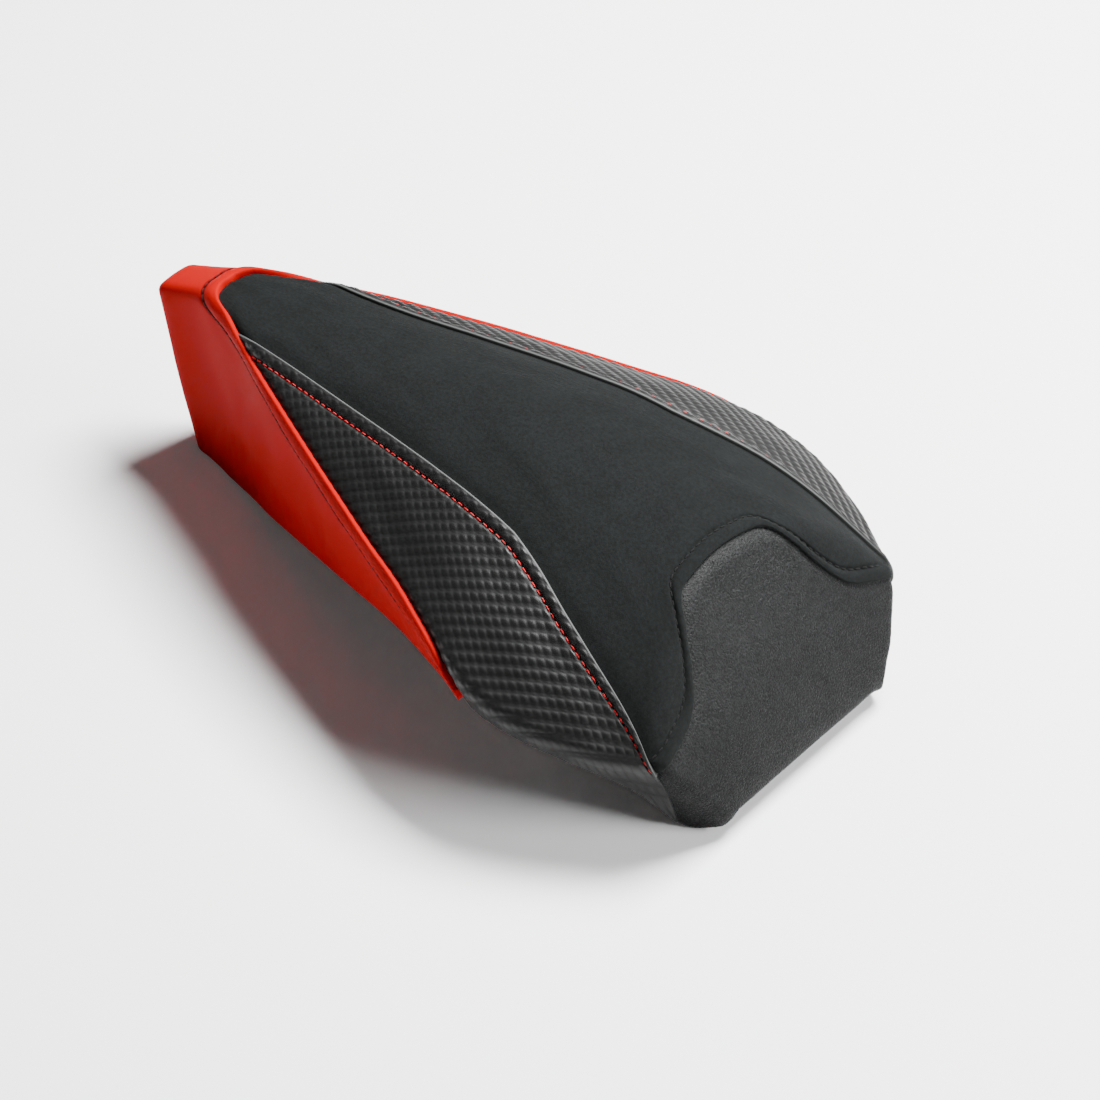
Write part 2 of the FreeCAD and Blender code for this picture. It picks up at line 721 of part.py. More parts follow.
def latch_parts():
    """Latch pin with its reinforcing plate under the pan, washer and nut over it."""
    frame = latch_frame()
    depth, plate_thickness = size("latch_boss_depth"), size("latch_plate_thickness")
    radius, neck = size("latch_pin_radius"), size("latch_neck_radius")
    face = -depth - plate_thickness
    tip = face - size("latch_pin_length")
    over = size("pan_thickness") + 0.6
    thread_end = over + size("washer_thickness") + size("nut_height") + 1.5

    plate_blank = doc.addObject("Part::Box", "latch_plate_blank")
    bound(plate_blank, Length="Dimensions.latch_plate_length", Width="Dimensions.latch_plate_width",
          Height="Dimensions.latch_plate_thickness")
    corner = Vector(-size("latch_plate_length") / 2, -size("latch_plate_width") / 2, face)
    plate_blank.Placement = frame * Placement(corner, Rotation())
    bore = cylinder("latch_plate_bore", "Dimensions.latch_pin_radius + 0.1", "Dimensions.drill_reach",
                    frame * Placement(Vector(0, 0, face - 5), Rotation()))
    keep(cut("latch_plate", plate_blank, bore), "latch_plate")

    points = [(0, tip), (1.6, tip), (radius, tip + 3), (radius, tip + 8.5), (neck, tip + 9),
              (neck, tip + 11.5), (radius, tip + 12), (radius, face - 2.4), (radius + 3.2, face - 2.4),
              (radius + 3.2, face), (radius, face), (radius, thread_end - 1), (radius - 1, thread_end),
              (0, thread_end)]
    pin = turned("latch_pin", points)
    pin.Placement = frame
    keep(pin, "latch_pin")

    ring = cylinder("washer_blank", "Dimensions.washer_radius", "Dimensions.washer_thickness",
                    frame * Placement(Vector(0, 0, over), Rotation()))
    hole = cylinder("washer_bore", "Dimensions.latch_pin_radius + 0.2", "Dimensions.drill_reach",
                    frame * Placement(Vector(0, 0, over - 4), Rotation()))
    keep(cut("latch_washer", ring, hole), "latch_washer")

    hexagon = doc.addObject("Part::Prism", "nut_blank")
    hexagon.Polygon = 6
    bound(hexagon, Circumradius="Dimensions.nut_across_flats / 2 / cos(30 deg)",
          Height="Dimensions.nut_height")
    hexagon.Placement = frame * Placement(Vector(0, 0, over + size("washer_thickness")), Rotation())
    thread = cylinder("nut_bore", "Dimensions.latch_pin_radius + 0.02", "Dimensions.drill_reach",
                      frame * Placement(Vector(0, 0, over), Rotation()))
    keep(cut("latch_nut", hexagon, thread), "latch_nut")


def hook(name, side):
    """Bent steel retaining hook: base under the pan, leg down, tongue pointing forwards."""
    start, leg, tip = (size("hook_base_start"), size("hook_leg_station"), size("hook_tip_station"))
    top, tongue, gauge = size("hook_base_level"), size("hook_tongue_level"), size("hook_sheet")
    outline = [(start, top), (leg, top), (leg, tongue), (tip - 1, tongue), (tip, tongue - 1),
               (tip, tongue - gauge), (leg - gauge, tongue - gauge), (leg - gauge, top - gauge),
               (start, top - gauge)]
    points = [(s - HALF_LENGTH, level) for s, level in outline]
    body, sketch = body_with_sketch(name + "_bend", "XZ_Plane", points)
    pad = body.newObject("PartDesign::Pad", name + "_width")
    pad.Profile = sketch
    pad.Midplane = True
    bound(pad, Length="Dimensions.hook_width")
    body.Placement.Base = Vector(0, side, 0)
    holes = []
    for i, (station, across) in enumerate(hook_screw_sites()):
        if across * side > 0:
            holes.append(cylinder("%s_hole_%d" % (name, i), "Dimensions.screw_radius + 0.3",
                                  "Dimensions.drill_reach", at(station, across, top - 6)))
    return keep(cut(name + "_bracket", body, fuse(name + "_holes", holes)), name)


def hook_screws():
    """The four screws that hold the hooks, as one group of separate solids."""
    radius, head = size("screw_radius"), size("screw_head_radius")
    height, length = size("screw_head_height"), size("screw_length")
    seat = size("hook_base_level") - size("hook_sheet")
    screws = []
    for station, side in hook_screw_sites():
        centre = Vector(station - HALF_LENGTH, side, seat)
        shank = Part.makeCylinder(radius, length, centre)
        dome = Part.makeCone(head * 0.7, head, height, centre - Vector(0, 0, height))
        socket = Part.makeCylinder(1.4, 1.6, centre - Vector(0, 0, height + 0.1))
        screws.append(shank.fuse(dome).cut(socket).removeSplitter())
    return keep(feature("hook_screws", Part.makeCompound(screws)), "hook_screws")


def staples():
    """Row of wire staples round the pan's underside, which hold the cover's turned-in edge."""
    wire, crown = size("staple_wire"), size("staple_crown")
    drop = size("hem_thickness")
    inset = size("cover_thickness") + size("staple_inset")
    pitch = size("staple_pitch")
    bar = Part.makeBox(crown, wire, wire * 0.6, Vector(-crown / 2, -wire / 2, -drop - wire * 0.6))
    legs = [Part.makeBox(wire, wire, drop, Vector(x, -wire / 2, -drop))
            for x in (-crown / 2, crown / 2 - wire)]
    one = bar.fuse(legs).removeSplitter()
    group = []
    station = 40.0
    while station < 333.0:
        for hand in (1, -1):
            ahead, behind = station + 3, station - 3
            side = rim_side(station) - inset
            yaw = math.atan2(hand * (rim_side(ahead) - rim_side(behind)), 6.0)
            rise = math.atan2(pan_level(ahead) - pan_level(behind), 6.0)
            turn = (Rotation(Vector(0, 0, 1), math.degrees(yaw))
                    * Rotation(Vector(0, 1, 0), -math.degrees(rise)))
            level = pan_level(station) - 0.35
            place = Placement(Vector(station - HALF_LENGTH, hand * side, level), turn)
            copy = one.copy()
            copy.Placement = place
            group.append(copy)
        station += pitch
    return keep(feature("cover_staples", Part.makeCompound(group)), "cover_staples")


# ---------------------------------------------------------------- build and export

def check():
    """Stop with a message if any object failed or any sub-part has no valid shape."""
    for thing in doc.Objects:
        if "Invalid" in thing.State or "Error" in thing.State:
            raise RuntimeError("%s failed: %s" % (thing.Name, thing.State))
    for thing in nodes:
        shape = thing.Shape
        if shape.isNull() or not shape.isValid() or not shape.Solids:
            raise RuntimeError("%s has no valid solid" % thing.Label)


keep(seat_pan(), "seat_pan")
keep(foam_cushion(), "foam_cushion")
cover_panels()
stitches()
for site in bumper_sites():
    bumper(*site)
latch_parts()
hook("hook_left", size("hook_offset"))
hook("hook_right", -size("hook_offset"))
hook_screws()
staples()
doc.recompute()
check()

os.makedirs("parts", exist_ok=True)
for node in nodes:
    node.Shape.exportStep("parts/%s.step" % node.Label)
    extent = node.Shape.BoundBox
    print("%-18s %9.0f mm3  x %7.1f..%6.1f  y %7.1f..%6.1f  z %6.1f..%6.1f"
          % (node.Label, node.Shape.Volume, extent.XMin, extent.XMax, extent.YMin, extent.YMax,
             extent.ZMin, extent.ZMax))
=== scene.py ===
"""Motorcycle passenger seat: stitched cover panels, foam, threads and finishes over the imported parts.

Lengths are in millimetres until a mesh is made, then metres. Stations are distances along X from
the tail tip; part X is station minus HALF_LENGTH.
"""
import json
import math
import bpy
import numpy as np
from mathutils import Matrix, Vector


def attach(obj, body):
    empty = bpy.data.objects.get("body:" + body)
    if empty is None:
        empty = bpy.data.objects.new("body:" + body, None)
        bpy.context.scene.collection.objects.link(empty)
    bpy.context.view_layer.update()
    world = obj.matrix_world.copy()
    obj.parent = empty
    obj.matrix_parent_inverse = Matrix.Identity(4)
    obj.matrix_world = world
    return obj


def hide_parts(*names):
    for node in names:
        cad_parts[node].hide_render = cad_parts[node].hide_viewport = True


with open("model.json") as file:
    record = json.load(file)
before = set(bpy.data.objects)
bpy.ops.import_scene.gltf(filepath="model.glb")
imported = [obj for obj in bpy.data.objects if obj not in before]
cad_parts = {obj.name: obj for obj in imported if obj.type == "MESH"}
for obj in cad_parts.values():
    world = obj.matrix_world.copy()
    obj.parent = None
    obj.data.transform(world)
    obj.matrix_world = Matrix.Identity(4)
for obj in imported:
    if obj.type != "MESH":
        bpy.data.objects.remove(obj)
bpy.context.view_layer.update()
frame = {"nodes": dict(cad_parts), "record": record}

MM = 0.001
HALF_LENGTH = 184.3

# The seat's surface, as the part's source has it: (station, value) knots.
CROWN = [(0, 83.5), (38, 96), (64, 100), (94, 101.9), (124, 104.3), (154, 107.5), (204, 111.3),
         (229, 111.5), (259, 107.7), (289, 101.6), (317, 93.6), (349, 83)]
BEND = [(4, 0.0075), (64, 0.004), (94, 0.005), (154, 0.0051), (204, 0.0044), (254, 0.0036),
        (304, 0.0039), (354, 0.0056)]
WIDTH = [(4, 12.9), (32, 14.6), (64, 24.2), (97, 40.5), (135, 57.7), (174, 73.5), (209, 86.3),
         (244, 99.2), (266, 106.2), (289, 107.5), (314, 100.8), (334, 90.5), (349, 79.7), (364, 69.5)]
LEAN = [(4, 0.0), (64, 0.0), (154, 0.1), (266, 0.28), (349, 0.42), (364, 0.42)]
SHOULDER = [(4, 85), (97, 85), (154, 78), (209, 70), (266, 60), (314, 52), (349, 44), (364, 40)]
RIM = [(-20, 0), (49, 0), (64, 2.5), (82, 7.5), (101, 13.5), (137, 24), (171, 33.5), (205, 43),
       (229, 48), (259, 51), (289, 49.5), (314, 43), (329, 35), (337, 27), (342, 17), (346, 6),
       (350, 0.6), (354, 0), (361, 3), (367, 8.5), (390, 12)]
TAIL_FOOT, TAIL_RAKE = 19.4, 0.258
NOSE_FOOT, NOSE_RAKE = 368.6, 0.144
SLOPE_STATION, SLOPE_LEVEL, SLOPE_ANGLE = 334.0, 71.5, 53.5
EDGE_RADIUS, TAIL_RADIUS, BROW_RADIUS, CORNER_RADIUS = 5.0, 8.0, 14.0, 4.0

# Seams of the left-hand side as (station, distance from the centre plane, level).
SIDE_SEAM = [(64, 23.6, 93.6), (94, 27.5, 97.2), (148, 35.6, 100.4), (200, 43.9, 102.8),
             (228, 48.3, 102.4), (244, 50.9, 100.9), (250, 52.0, 100.0), (254.5, 53.2, 98.7),
             (268, 57.2, 94.3), (286, 63.5, 87), (304, 68.5, 78.1), (336, 77, 57.5), (349, 80, 43.9)]
TAIL_SEAM = [(38, 4.3, 96), (41, 9.5, 95.6), (57, 19.0, 95.2), (77, 30.2, 94.6), (116, 48.0, 90.7),
             (154, 64.0, 86.2), (191, 78.8, 81.2), (227, 92.6, 76.2), (249, 101.4, 69), (264, 105.3, 58)]
FRONT_SEAM = [(316, 0, 94.7), (316.5, 14, 93), (318, 26, 89.6), (327, 35, 79), (336, 42, 67), (344, 51, 56.4),
              (348, 58.6, 53), (350, 66.6, 50), (350, 74, 46.5), (349, 80, 43.9)]
TAIL_MIDDLE = (38, 0.0, 96.3)
# Line through the seat from which the flat map of the skin is measured.
AXIS_START, AXIS_END, AXIS_LEVEL, MAP_RADIUS = 64.0, 289.0, 38.0, 60.0
FAR, HALVINGS = 230.0, 28      # reach of a ray, and how often its interval is halved
CORE_LEVEL = 60.0              # level of the points from which every panel faces outwards

STITCH_PITCH, THREAD_RADIUS = 4.0, 0.38
FRONT_INSET, SIDE_INSET, TAIL_INSET = 7.0, 6.5, 8.5     # topstitch from each folded edge
CORNER_STATION = 348.0         # where the side and front panels meet on the rim
NOSE_CENTRE, NOSE_LEVEL, TIP_CENTRE = 341.0, 4.0, 34.0  # fans of rays round the two ends of the rim
TUCK_REACH = 3.0               # how far a panel passes under its neighbour
ROLL = 1.0                     # radius of a folded hem edge
FOLD_DROPS = (1.0, 2.6)        # levels of the side of a folded edge, below the edge
CURL = 1.2                     # radius of the cover's turn under the pan
# The turned-under hem: distance in from the rim, and level against the pan's underside.
HEM_IN = (0.35, 0.75, 1.2, 2.2, 3.4, 5, 6.5, 8, 9.5, 11, 12.2, 12.8, 13.0, 13.0)
HEM_LEVEL = (-0.78, -1.1, -1.2, -1.15, -0.8, -0.4, -0.3, -0.3, -0.3, -0.3, -0.3, -0.3, 0.1, 1.1)
GATHER_PITCH, GATHER_HEIGHT = 6.5, 0.28
WEAVE_ROW, WEAVE_BUMP, WEAVE_HEIGHT = 5.2, 3.6, 0.46    # twill emboss: row and bump spacing
FOAM_DEPTH, FOAM_FLOOR = 4.2, 6.2                       # foam below the skin, and above the rim


# ---------------------------------------------------------------- the seat's surface

def smooth(knots, x):
    """Cubic through the knots with the slopes of a parabola through three, straight beyond the ends."""
    xs, vs = np.array(knots, float).T
    h = np.diff(xs)
    rise = np.diff(vs) / h
    slope = np.empty_like(vs)
    slope[1:-1] = (rise[:-1] * h[1:] + rise[1:] * h[:-1]) / (h[:-1] + h[1:])
    slope[0], slope[-1] = rise[0], rise[-1]
    k = np.clip(np.searchsorted(xs, x) - 1, 0, len(h) - 1)
    t = (x - xs[k]) / h[k]
    c = np.clip(t, 0, 1)
    inside = ((2 * c ** 3 - 3 * c ** 2 + 1) * vs[k] + (c ** 3 - 2 * c ** 2 + c) * h[k] * slope[k]
              + (3 * c ** 2 - 2 * c ** 3) * vs[k + 1] + (c ** 3 - c ** 2) * h[k] * slope[k + 1])
    return inside + np.where(t < 0, slope[k], slope[k + 1]) * (t - c) * h[k]


def rim_level(station):
    """Level of the cover's lower edge, never below the ground."""
    return np.maximum(smooth(RIM, station), 0.0)


def rounded(a, b, radius):
    """Larger of two distances, with the edge between the faces rounded off."""
    over = np.hypot(np.maximum(a + radius, 0), np.maximum(b + radius, 0))
    return np.minimum(np.maximum(a, b), -radius) + over


def outside(p):
    """Distance outside the skin: crown, walls, tail and front faces joined by rounded edges."""
    station, side, level = p[..., 0], p[..., 1], p[..., 2]
    bend = smooth(BEND, station)
    top = (level - smooth(CROWN, station) + bend * side * side) / np.hypot(1, 2 * bend * side)
    lean = smooth(LEAN, station)
    wall = np.abs(side) - smooth(WIDTH, station) - lean * (level - smooth(SHOULDER, station))
    wall /= np.sqrt(1.15 + lean * lean)
    tail = (TAIL_FOOT - TAIL_RAKE * level - station) / math.hypot(1, TAIL_RAKE)
    nose = (station - NOSE_FOOT + NOSE_RAKE * level) / math.hypot(1, NOSE_RAKE)
    angle = math.radians(SLOPE_ANGLE)
    slope = (station - SLOPE_STATION) * math.sin(angle) + (level - SLOPE_LEVEL) * math.cos(angle)
    front = rounded(nose, slope, BROW_RADIUS)
    body = rounded(rounded(top, wall, EDGE_RADIUS), tail, TAIL_RADIUS)
    return rounded(body, front, CORNER_RADIUS)


def march(start, ray, proud=0.0):
    """Point where each line from start leaves the skin grown by proud, found by halving."""
    near, far = np.ones(ray.shape[:-1]), np.full(ray.shape[:-1], FAR)
    for _ in range(HALVINGS):
        middle = (near + far) / 2
        within = outside(start + ray * middle[..., None]) < proud
        near, far = np.where(within, middle, near), np.where(within, far, middle)
    return start + ray * near[..., None]


def to_map(p):
    """Flat map of the skin: along and across, by angle round the axis line."""
    p = np.asarray(p, float)
    foot = np.clip(p[..., 0], AXIS_START, AXIS_END)
    along = p[..., 0] - foot
    flat = np.maximum(np.hypot(along, p[..., 1]), 1e-9)
    reach = MAP_RADIUS * np.arctan2(flat, p[..., 2] - AXIS_LEVEL) / flat
    return np.stack([foot + along * reach, p[..., 1] * reach], -1)


def from_map(place, proud=0.0):
    """Points of the skin for places on the map."""
    foot = np.clip(place[..., 0], AXIS_START, AXIS_END)
    along, across = place[..., 0] - foot, place[..., 1]
    flat = np.maximum(np.hypot(along, across), 1e-9)
    turn = flat / MAP_RADIUS
    start = np.stack([foot, foot * 0, foot * 0 + AXIS_LEVEL], -1)
    ray = np.stack([along * np.sin(turn) / flat, across * np.sin(turn) / flat, np.cos(turn)], -1)
    return march(start, ray, proud)


def mirrored(points):
    """The same points on the other side of the centre plane."""
    return [(station, -side, level) for station, side, level in points]


def rim_points(first, final, count, hand):
    """Line just above the rim between two stations, on one hand (+1 left, -1 right)."""
    station = np.linspace(first, final, count)
    level = rim_level(station) + CURL
    start = np.stack([station, station * 0, level], -1)
    p = march(start, np.broadcast_to([0.0, 1.0, 0.0], start.shape))
    p[:, 1] *= hand
    return [tuple(row) for row in p]


def round_rim(centre, level, angles, back):
    """Line just above the rim round an end, by rays at the angles from a centre station."""
    angles = np.radians(angles)
    ray = np.stack([np.cos(angles) * back, np.sin(angles), angles * 0], -1)
    p = march(np.array([centre, 0.0, level]), ray)
    p[:, 2] = rim_level(p[:, 0]) + CURL
    return [tuple(row) for row in p]


# ---------------------------------------------------------------- grids on the map

def line(points, stops):
    """Map places at fractions of the length of a smooth line through the points."""
    points = np.asarray(points, float)
    run = run_along(points, 0)
    at = np.asarray(stops) * run[-1]
    return to_map(np.stack([smooth(list(zip(run, points[:, k])), at) for k in range(3)], -1))


def stops(length, coarse, fine=None, start=False, end=False, reach=3.0):
    """Fractions 0 to 1 that are `coarse` apart, closing to `fine` within reach of the asked ends."""
    x = np.linspace(0, length, 4000)
    gap = np.full_like(x, coarse)
    fine = fine or coarse
    if start:
        gap -= (coarse - fine) * np.exp(-(x / reach) ** 4)
    if end:
        gap -= (coarse - fine) * np.exp(-((length - x) / reach) ** 4)
    count = np.concatenate([[0], np.cumsum((1 / gap[1:] + 1 / gap[:-1]) / 2 * np.diff(x))])
    return np.interp(np.linspace(0, count[-1], int(count[-1]) + 1), count, x) / length


def coons(low, high, first, last, u, v):
    """Places that fill the region between two long sides (low, high) and two ends (first, last)."""
    u, v = u[:, None, None], v[None, :, None]
    sides = (1 - v) * low[:, None] + v * high[:, None]
    ends = (1 - u) * first[None] + u * last[None]
    corners = (1 - u) * ((1 - v) * first[0] + v * first[-1]) + u * ((1 - v) * last[0] + v * last[-1])
    return sides + ends - corners


def straight(a, b, v):
    """Places at the fractions v of the straight line from a to b."""
    return a + (b - a) * v[:, None]


def run_along(p, axis, back=False):
    """Distance along the grid lines of an axis, from its first row or, with back, its last."""
    step = np.linalg.norm(np.diff(p, axis=axis), axis=-1)
    total = np.insert(np.cumsum(step, axis=axis), 0, 0, axis=axis)
    return (total.take([-1], axis=axis) - total) if back else total


def tuck(place, side, reach):
    """Four more rows past a side of the map grid, which pass under the neighbouring panel.

    side is "first", "last", "low" or "high"; reach is in millimetres of the map.
    """
    axis = 0 if side in ("first", "last") else 1
    near, inner = (0, 1) if side in ("first", "low") else (-1, -2)
    edge = place.take(near, axis=axis)
    away = edge - place.take(inner, axis=axis)
    away /= np.maximum(np.hypot(away[..., 0], away[..., 1]), 1e-6)[..., None]
    rows = [np.expand_dims(edge + away * reach * k / 4, axis) for k in (1, 2, 3, 4)]
    parts = rows[::-1] + [place] if near == 0 else [place] + rows
    return np.concatenate(parts, axis=axis)


def tucked(height, side):
    """Heights for the four rows that tuck adds: they sink evenly below the neighbour."""
    axis = 0 if side in ("first", "last") else 1
    near = 0 if side in ("first", "low") else -1
    edge = height.take([near], axis=axis)
    rows = [edge - 0.3 * k for k in (1, 2, 3, 4)]
    return np.concatenate(rows[::-1] + [height] if near == 0 else [height] + rows, axis=axis)


def bell(x, width):
    """One at zero, and falling as exp(-(x / width) squared)."""
    return np.exp(-(x / width) ** 2)


def ease(x):
    """Zero below 0, one above 1, and 3 x squared minus 2 x cubed between."""
    x = np.clip(x, 0, 1)
    return x * x * (3 - 2 * x)


def soft_noise(shape, rows_wave, columns_wave, seed, band=None):
    """Random field of unit spread, smoothed over so many rows and columns: white noise times a bell
    of its frequency. band keeps one ring of wavelengths, which gives grain instead of soft lumps."""
    noise = np.fft.rfft2(np.random.default_rng(seed).standard_normal(shape))
    f = np.hypot(np.fft.fftfreq(shape[0])[:, None] * rows_wave,
                 np.fft.rfftfreq(shape[1])[None] * columns_wave)
    keep = np.exp(-((f - 1) / band) ** 2) if band else np.exp(-f * f / 2)
    field = np.fft.irfft2(noise * keep, s=shape)
    return (field - field.mean()) / field.std()


def over_edge(d, lift=0.9, spread=8.0):
    """Height of a panel that lies over its neighbour: a hem raised as a bell of the distance d, that
    ends in a quarter-round fold."""
    fold = np.sqrt(np.clip(ROLL ** 2 - np.clip(ROLL - d, 0, None) ** 2, 0, None)) - ROLL
    return lift * bell(d, spread) + fold


def under_edge(d, dip=0.9, spread=4.5):
    """Height of a panel near the edge where it passes under its neighbour: a bell-shaped dip."""
    return -dip * bell(d, spread)


def seam_relief(d, along, inset, depth=1.0):
    """Topstitching: a bell-shaped groove at the inset, a hole at every stitch end from a cubed
    cosine of the stitch pitch, and a puffed welt beside it as a squared sine."""
    groove = -depth * (0.75 * bell(d - inset, 1.0) + 0.25 * bell(d - inset, 2.6))
    pulse = (0.5 + 0.5 * np.cos(2 * math.pi * along / STITCH_PITCH)) ** 3
    holes = -0.5 * bell(d - inset, 0.7) * pulse
    welt = 0.35 * np.sin(math.pi * np.clip(d / inset, 0, 1)) ** 2
    pucker = -0.09 * pulse * bell(d - inset, 2.2)
    return groove + holes + welt + pucker


def skin_normal(p):
    """Outward normals of the skin: the slope of the distance function over a small step."""
    shifts = np.eye(3) * 0.4
    normal = np.stack([outside(p + d) - outside(p - d) for d in shifts], -1)
    return normal / np.maximum(np.linalg.norm(normal, axis=-1), 1e-9)[..., None]


def skin_at(place, height):
    """Points of the skin raised by a height field, along the skin's own normals."""
    base = from_map(place)
    return base + skin_normal(base) * height[..., None]


def closed_edge(field, side, drops=None):
    """Field with two more rows that repeat a side: the same places, or heights lower by drops, so
    that a folded edge has a side of its own down to the foam."""
    axis = 0 if side in ("first", "last") else 1
    near = 0 if side in ("first", "low") else -1
    edge = field.take([near], axis=axis)
    rows = [edge - drop for drop in (drops or (0, 0))]
    parts = rows[::-1] + [field] if near == 0 else [field] + rows
    return np.concatenate(parts, axis=axis)


def turn_under(p, phase):
    """Rows that follow the last column of p round the rim and in under the pan: a quarter-round
    curl, a rise to the pan, a hem with small sine-shaped gathers that keeps to the pan's
    underside, and the cut edge's thickness. The hem is narrower round the small tail tip."""
    edge = p[:, -1]
    tangent = np.gradient(edge, axis=0)
    out = np.stack([tangent[:, 1], -tangent[:, 0]], -1)
    out /= np.maximum(np.hypot(out[:, 0], out[:, 1]), 1e-9)[:, None]
    centre = np.array([edge[:, 0].mean(), 0.0])
    out *= np.sign(np.sum(out * (edge[:, :2] - centre), -1))[:, None]
    width = 31
    window = np.hanning(width) / np.hanning(width).sum()
    padded = np.pad(out, ((width // 2, width // 2), (0, 0)), mode="edge")
    out = np.stack([np.convolve(padded[:, k], window, "valid") for k in (0, 1)], -1)
    along = run_along(edge, 0)
    reach = np.where(edge[:, 0] < 60, 0.55 + 0.45 * ease((edge[:, 0] - 20) / 40), 1.0)
    gather = GATHER_HEIGHT * np.sin(2 * math.pi * along / GATHER_PITCH + phase)
    rows = []
    for a, b in zip(HEM_IN, HEM_LEVEL):
        q = edge.copy()
        q[:, :2] -= out * (a * reach)[:, None]
        q[:, 2] += b - gather * ease((a - 2.5) / 5) + rim_level(q[:, 0]) - rim_level(edge[:, 0])
        rows.append(q)
    return np.stack(rows, 1)


# ---------------------------------------------------------------- meshes

def place_points(p):
    """Stations in millimetres to the part's frame in metres."""
    q = np.array(p, float)
    q[..., 0] -= HALF_LENGTH
    return q * MM


def mesh_object(name, points, faces, attributes=()):
    """Mesh from points (metres) and quads; attributes are (name, value per point)."""
    mesh = bpy.data.meshes.new(name)
    mesh.vertices.add(len(points))
    mesh.vertices.foreach_set("co", np.ascontiguousarray(points, np.float32).ravel())
    mesh.loops.add(faces.size)
    mesh.loops.foreach_set("vertex_index", faces.ravel().astype(np.int32))
    mesh.polygons.add(len(faces))
    mesh.polygons.foreach_set("loop_start", np.arange(len(faces), dtype=np.int32) * faces.shape[1])
    mesh.polygons.foreach_set("use_smooth", np.full(len(faces), True))
    for label, value in attributes:
        layer = mesh.attributes.new(label, "FLOAT", "POINT")
        layer.data.foreach_set("value", np.ascontiguousarray(value, np.float32).ravel())
    mesh.update(calc_edges=True)
    mesh.validate()
    thing = bpy.data.objects.new(name, mesh)
    bpy.context.scene.collection.objects.link(thing)
    return thing


def grid_faces(rows, columns, around=False):
    """Quads of a grid of points; around joins the last column to the first."""
    index = np.arange(rows * columns).reshape(rows, columns)
    if around:
        index = np.concatenate([index, index[:, :1]], 1)
    return np.stack([index[:-1, :-1], index[1:, :-1], index[1:, 1:], index[:-1, 1:]], -1).reshape(-1, 4)


def outward(points, faces):
    """Faces turned so that their normals point away from the seat's axis line."""
    q = points[faces]
    normal = np.cross(q[:, 2] - q[:, 0], q[:, 3] - q[:, 1])
    centre = q.mean(1)
    foot = np.clip(centre[:, 0] / MM + HALF_LENGTH, AXIS_START, AXIS_END)
    core = np.stack([(foot - HALF_LENGTH) * MM, foot * 0, foot * 0 + CORE_LEVEL * MM], -1)
    facing = np.sum(normal * (centre - core), -1).sum()
    return faces if facing > 0 else faces[:, ::-1]


def cover_piece(name, p, node, slot, paint, **fields):
    """One cover panel from its grid of points, with fields that its finish reads."""
    points = place_points(p).reshape(-1, 3)
    faces = outward(points, grid_faces(*p.shape[:2]))
    finish(mesh_object(name, points, faces, list(fields.items())), paint, node)


def finish(piece, paint, node):
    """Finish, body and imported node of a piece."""
    piece.data.materials.append(paint)
    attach(piece, "root")
    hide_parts(node)


def thread(name, path, normal, paint, node, lift):
    """Row of lockstitches along a path: each is a short capsule of eight sides, whose middle stands
    lift above the path and whose ends dive by the fourth power of the distance from the middle."""
    run = run_along(path, 0)
    centres = np.arange(0.5, int(run[-1] / STITCH_PITCH) - 0.5) * STITCH_PITCH
    rings, sides = 9, 8
    t = np.linspace(-1, 1, rings)
    length = STITCH_PITCH * 0.86      # the rest of the pitch is the needle hole
    places = centres[:, None] + t[None] * length / 2
    spine = np.stack([np.interp(places, run, path[:, k]) for k in range(3)], -1)
    up = np.stack([np.interp(places, run, normal[:, k]) for k in range(3)], -1)
    up /= np.linalg.norm(up, axis=-1)[..., None]
    ahead = np.gradient(spine, axis=1)
    ahead /= np.linalg.norm(ahead, axis=-1)[..., None]
    across = np.cross(up, ahead)
    spine = spine + up * (lift + 0.25 - 0.95 * np.abs(t) ** 4)[None, :, None]
    taper = THREAD_RADIUS * np.sqrt(np.clip(1 - (np.abs(t) ** 6) * 0.9, 0.05, 1))
    turn = np.linspace(0, 2 * math.pi, sides, endpoint=False)
    round_ = (across[:, :, None] * np.cos(turn)[None, None, :, None]
              + up[:, :, None] * np.sin(turn)[None, None, :, None] * 0.85)
    p = spine[:, :, None] + round_ * taper[None, :, None, None]
    one = grid_faces(rings, sides, True)
    faces = (one[None] + (np.arange(len(centres)) * rings * sides)[:, None, None]).reshape(-1, 4)
    twist = np.broadcast_to((t[None, :, None] * length / 2 + turn[None, None, :] * 0.25), p.shape[:3])
    piece = mesh_object(name, place_points(p).reshape(-1, 3), faces[:, ::-1], [("twist", twist)])
    finish(piece, paint, node)


# ---------------------------------------------------------------- materials

def srgb(code):
    """Hex colour to linear values."""
    channel = [int(code[i:i + 2], 16) / 255 for i in (1, 3, 5)]
    return tuple(c / 12.92 if c <= 0.04045 else ((c + 0.055) / 1.055) ** 2.4 for c in channel) + (1.0,)


def add(tree, kind, inputs=None, **settings):
    """Shader node with its settings; each input gets a value, or a link where it's a socket."""
    node = tree.nodes.new(kind)
    for key, value in settings.items():
        setattr(node, key, value)
    for key, value in (inputs or {}).items():
        if isinstance(value, bpy.types.NodeSocket):
            tree.links.new(value, node.inputs[key])
        else:
            node.inputs[key].default_value = value
    return node


def material(name, values, texture=None):
    """Principled material; texture(tree, coordinates) gives the sockets that drive its inputs."""
    made = bpy.data.materials.new(name)
    made.use_nodes = True
    tree = made.node_tree
    shader = next(n for n in tree.nodes if n.type == "BSDF_PRINCIPLED")
    for key, value in values.items():
        shader.inputs[key].default_value = value
    if texture:
        where = add(tree, "ShaderNodeTexCoord").outputs["Object"]
        for key, socket in texture(tree, where).items():
            tree.links.new(socket, shader.inputs[key])
    return made


def per_mm(size_mm):
    """Texture scale whose features are about size_mm across, in metre coordinates."""
    return 1000.0 / size_mm


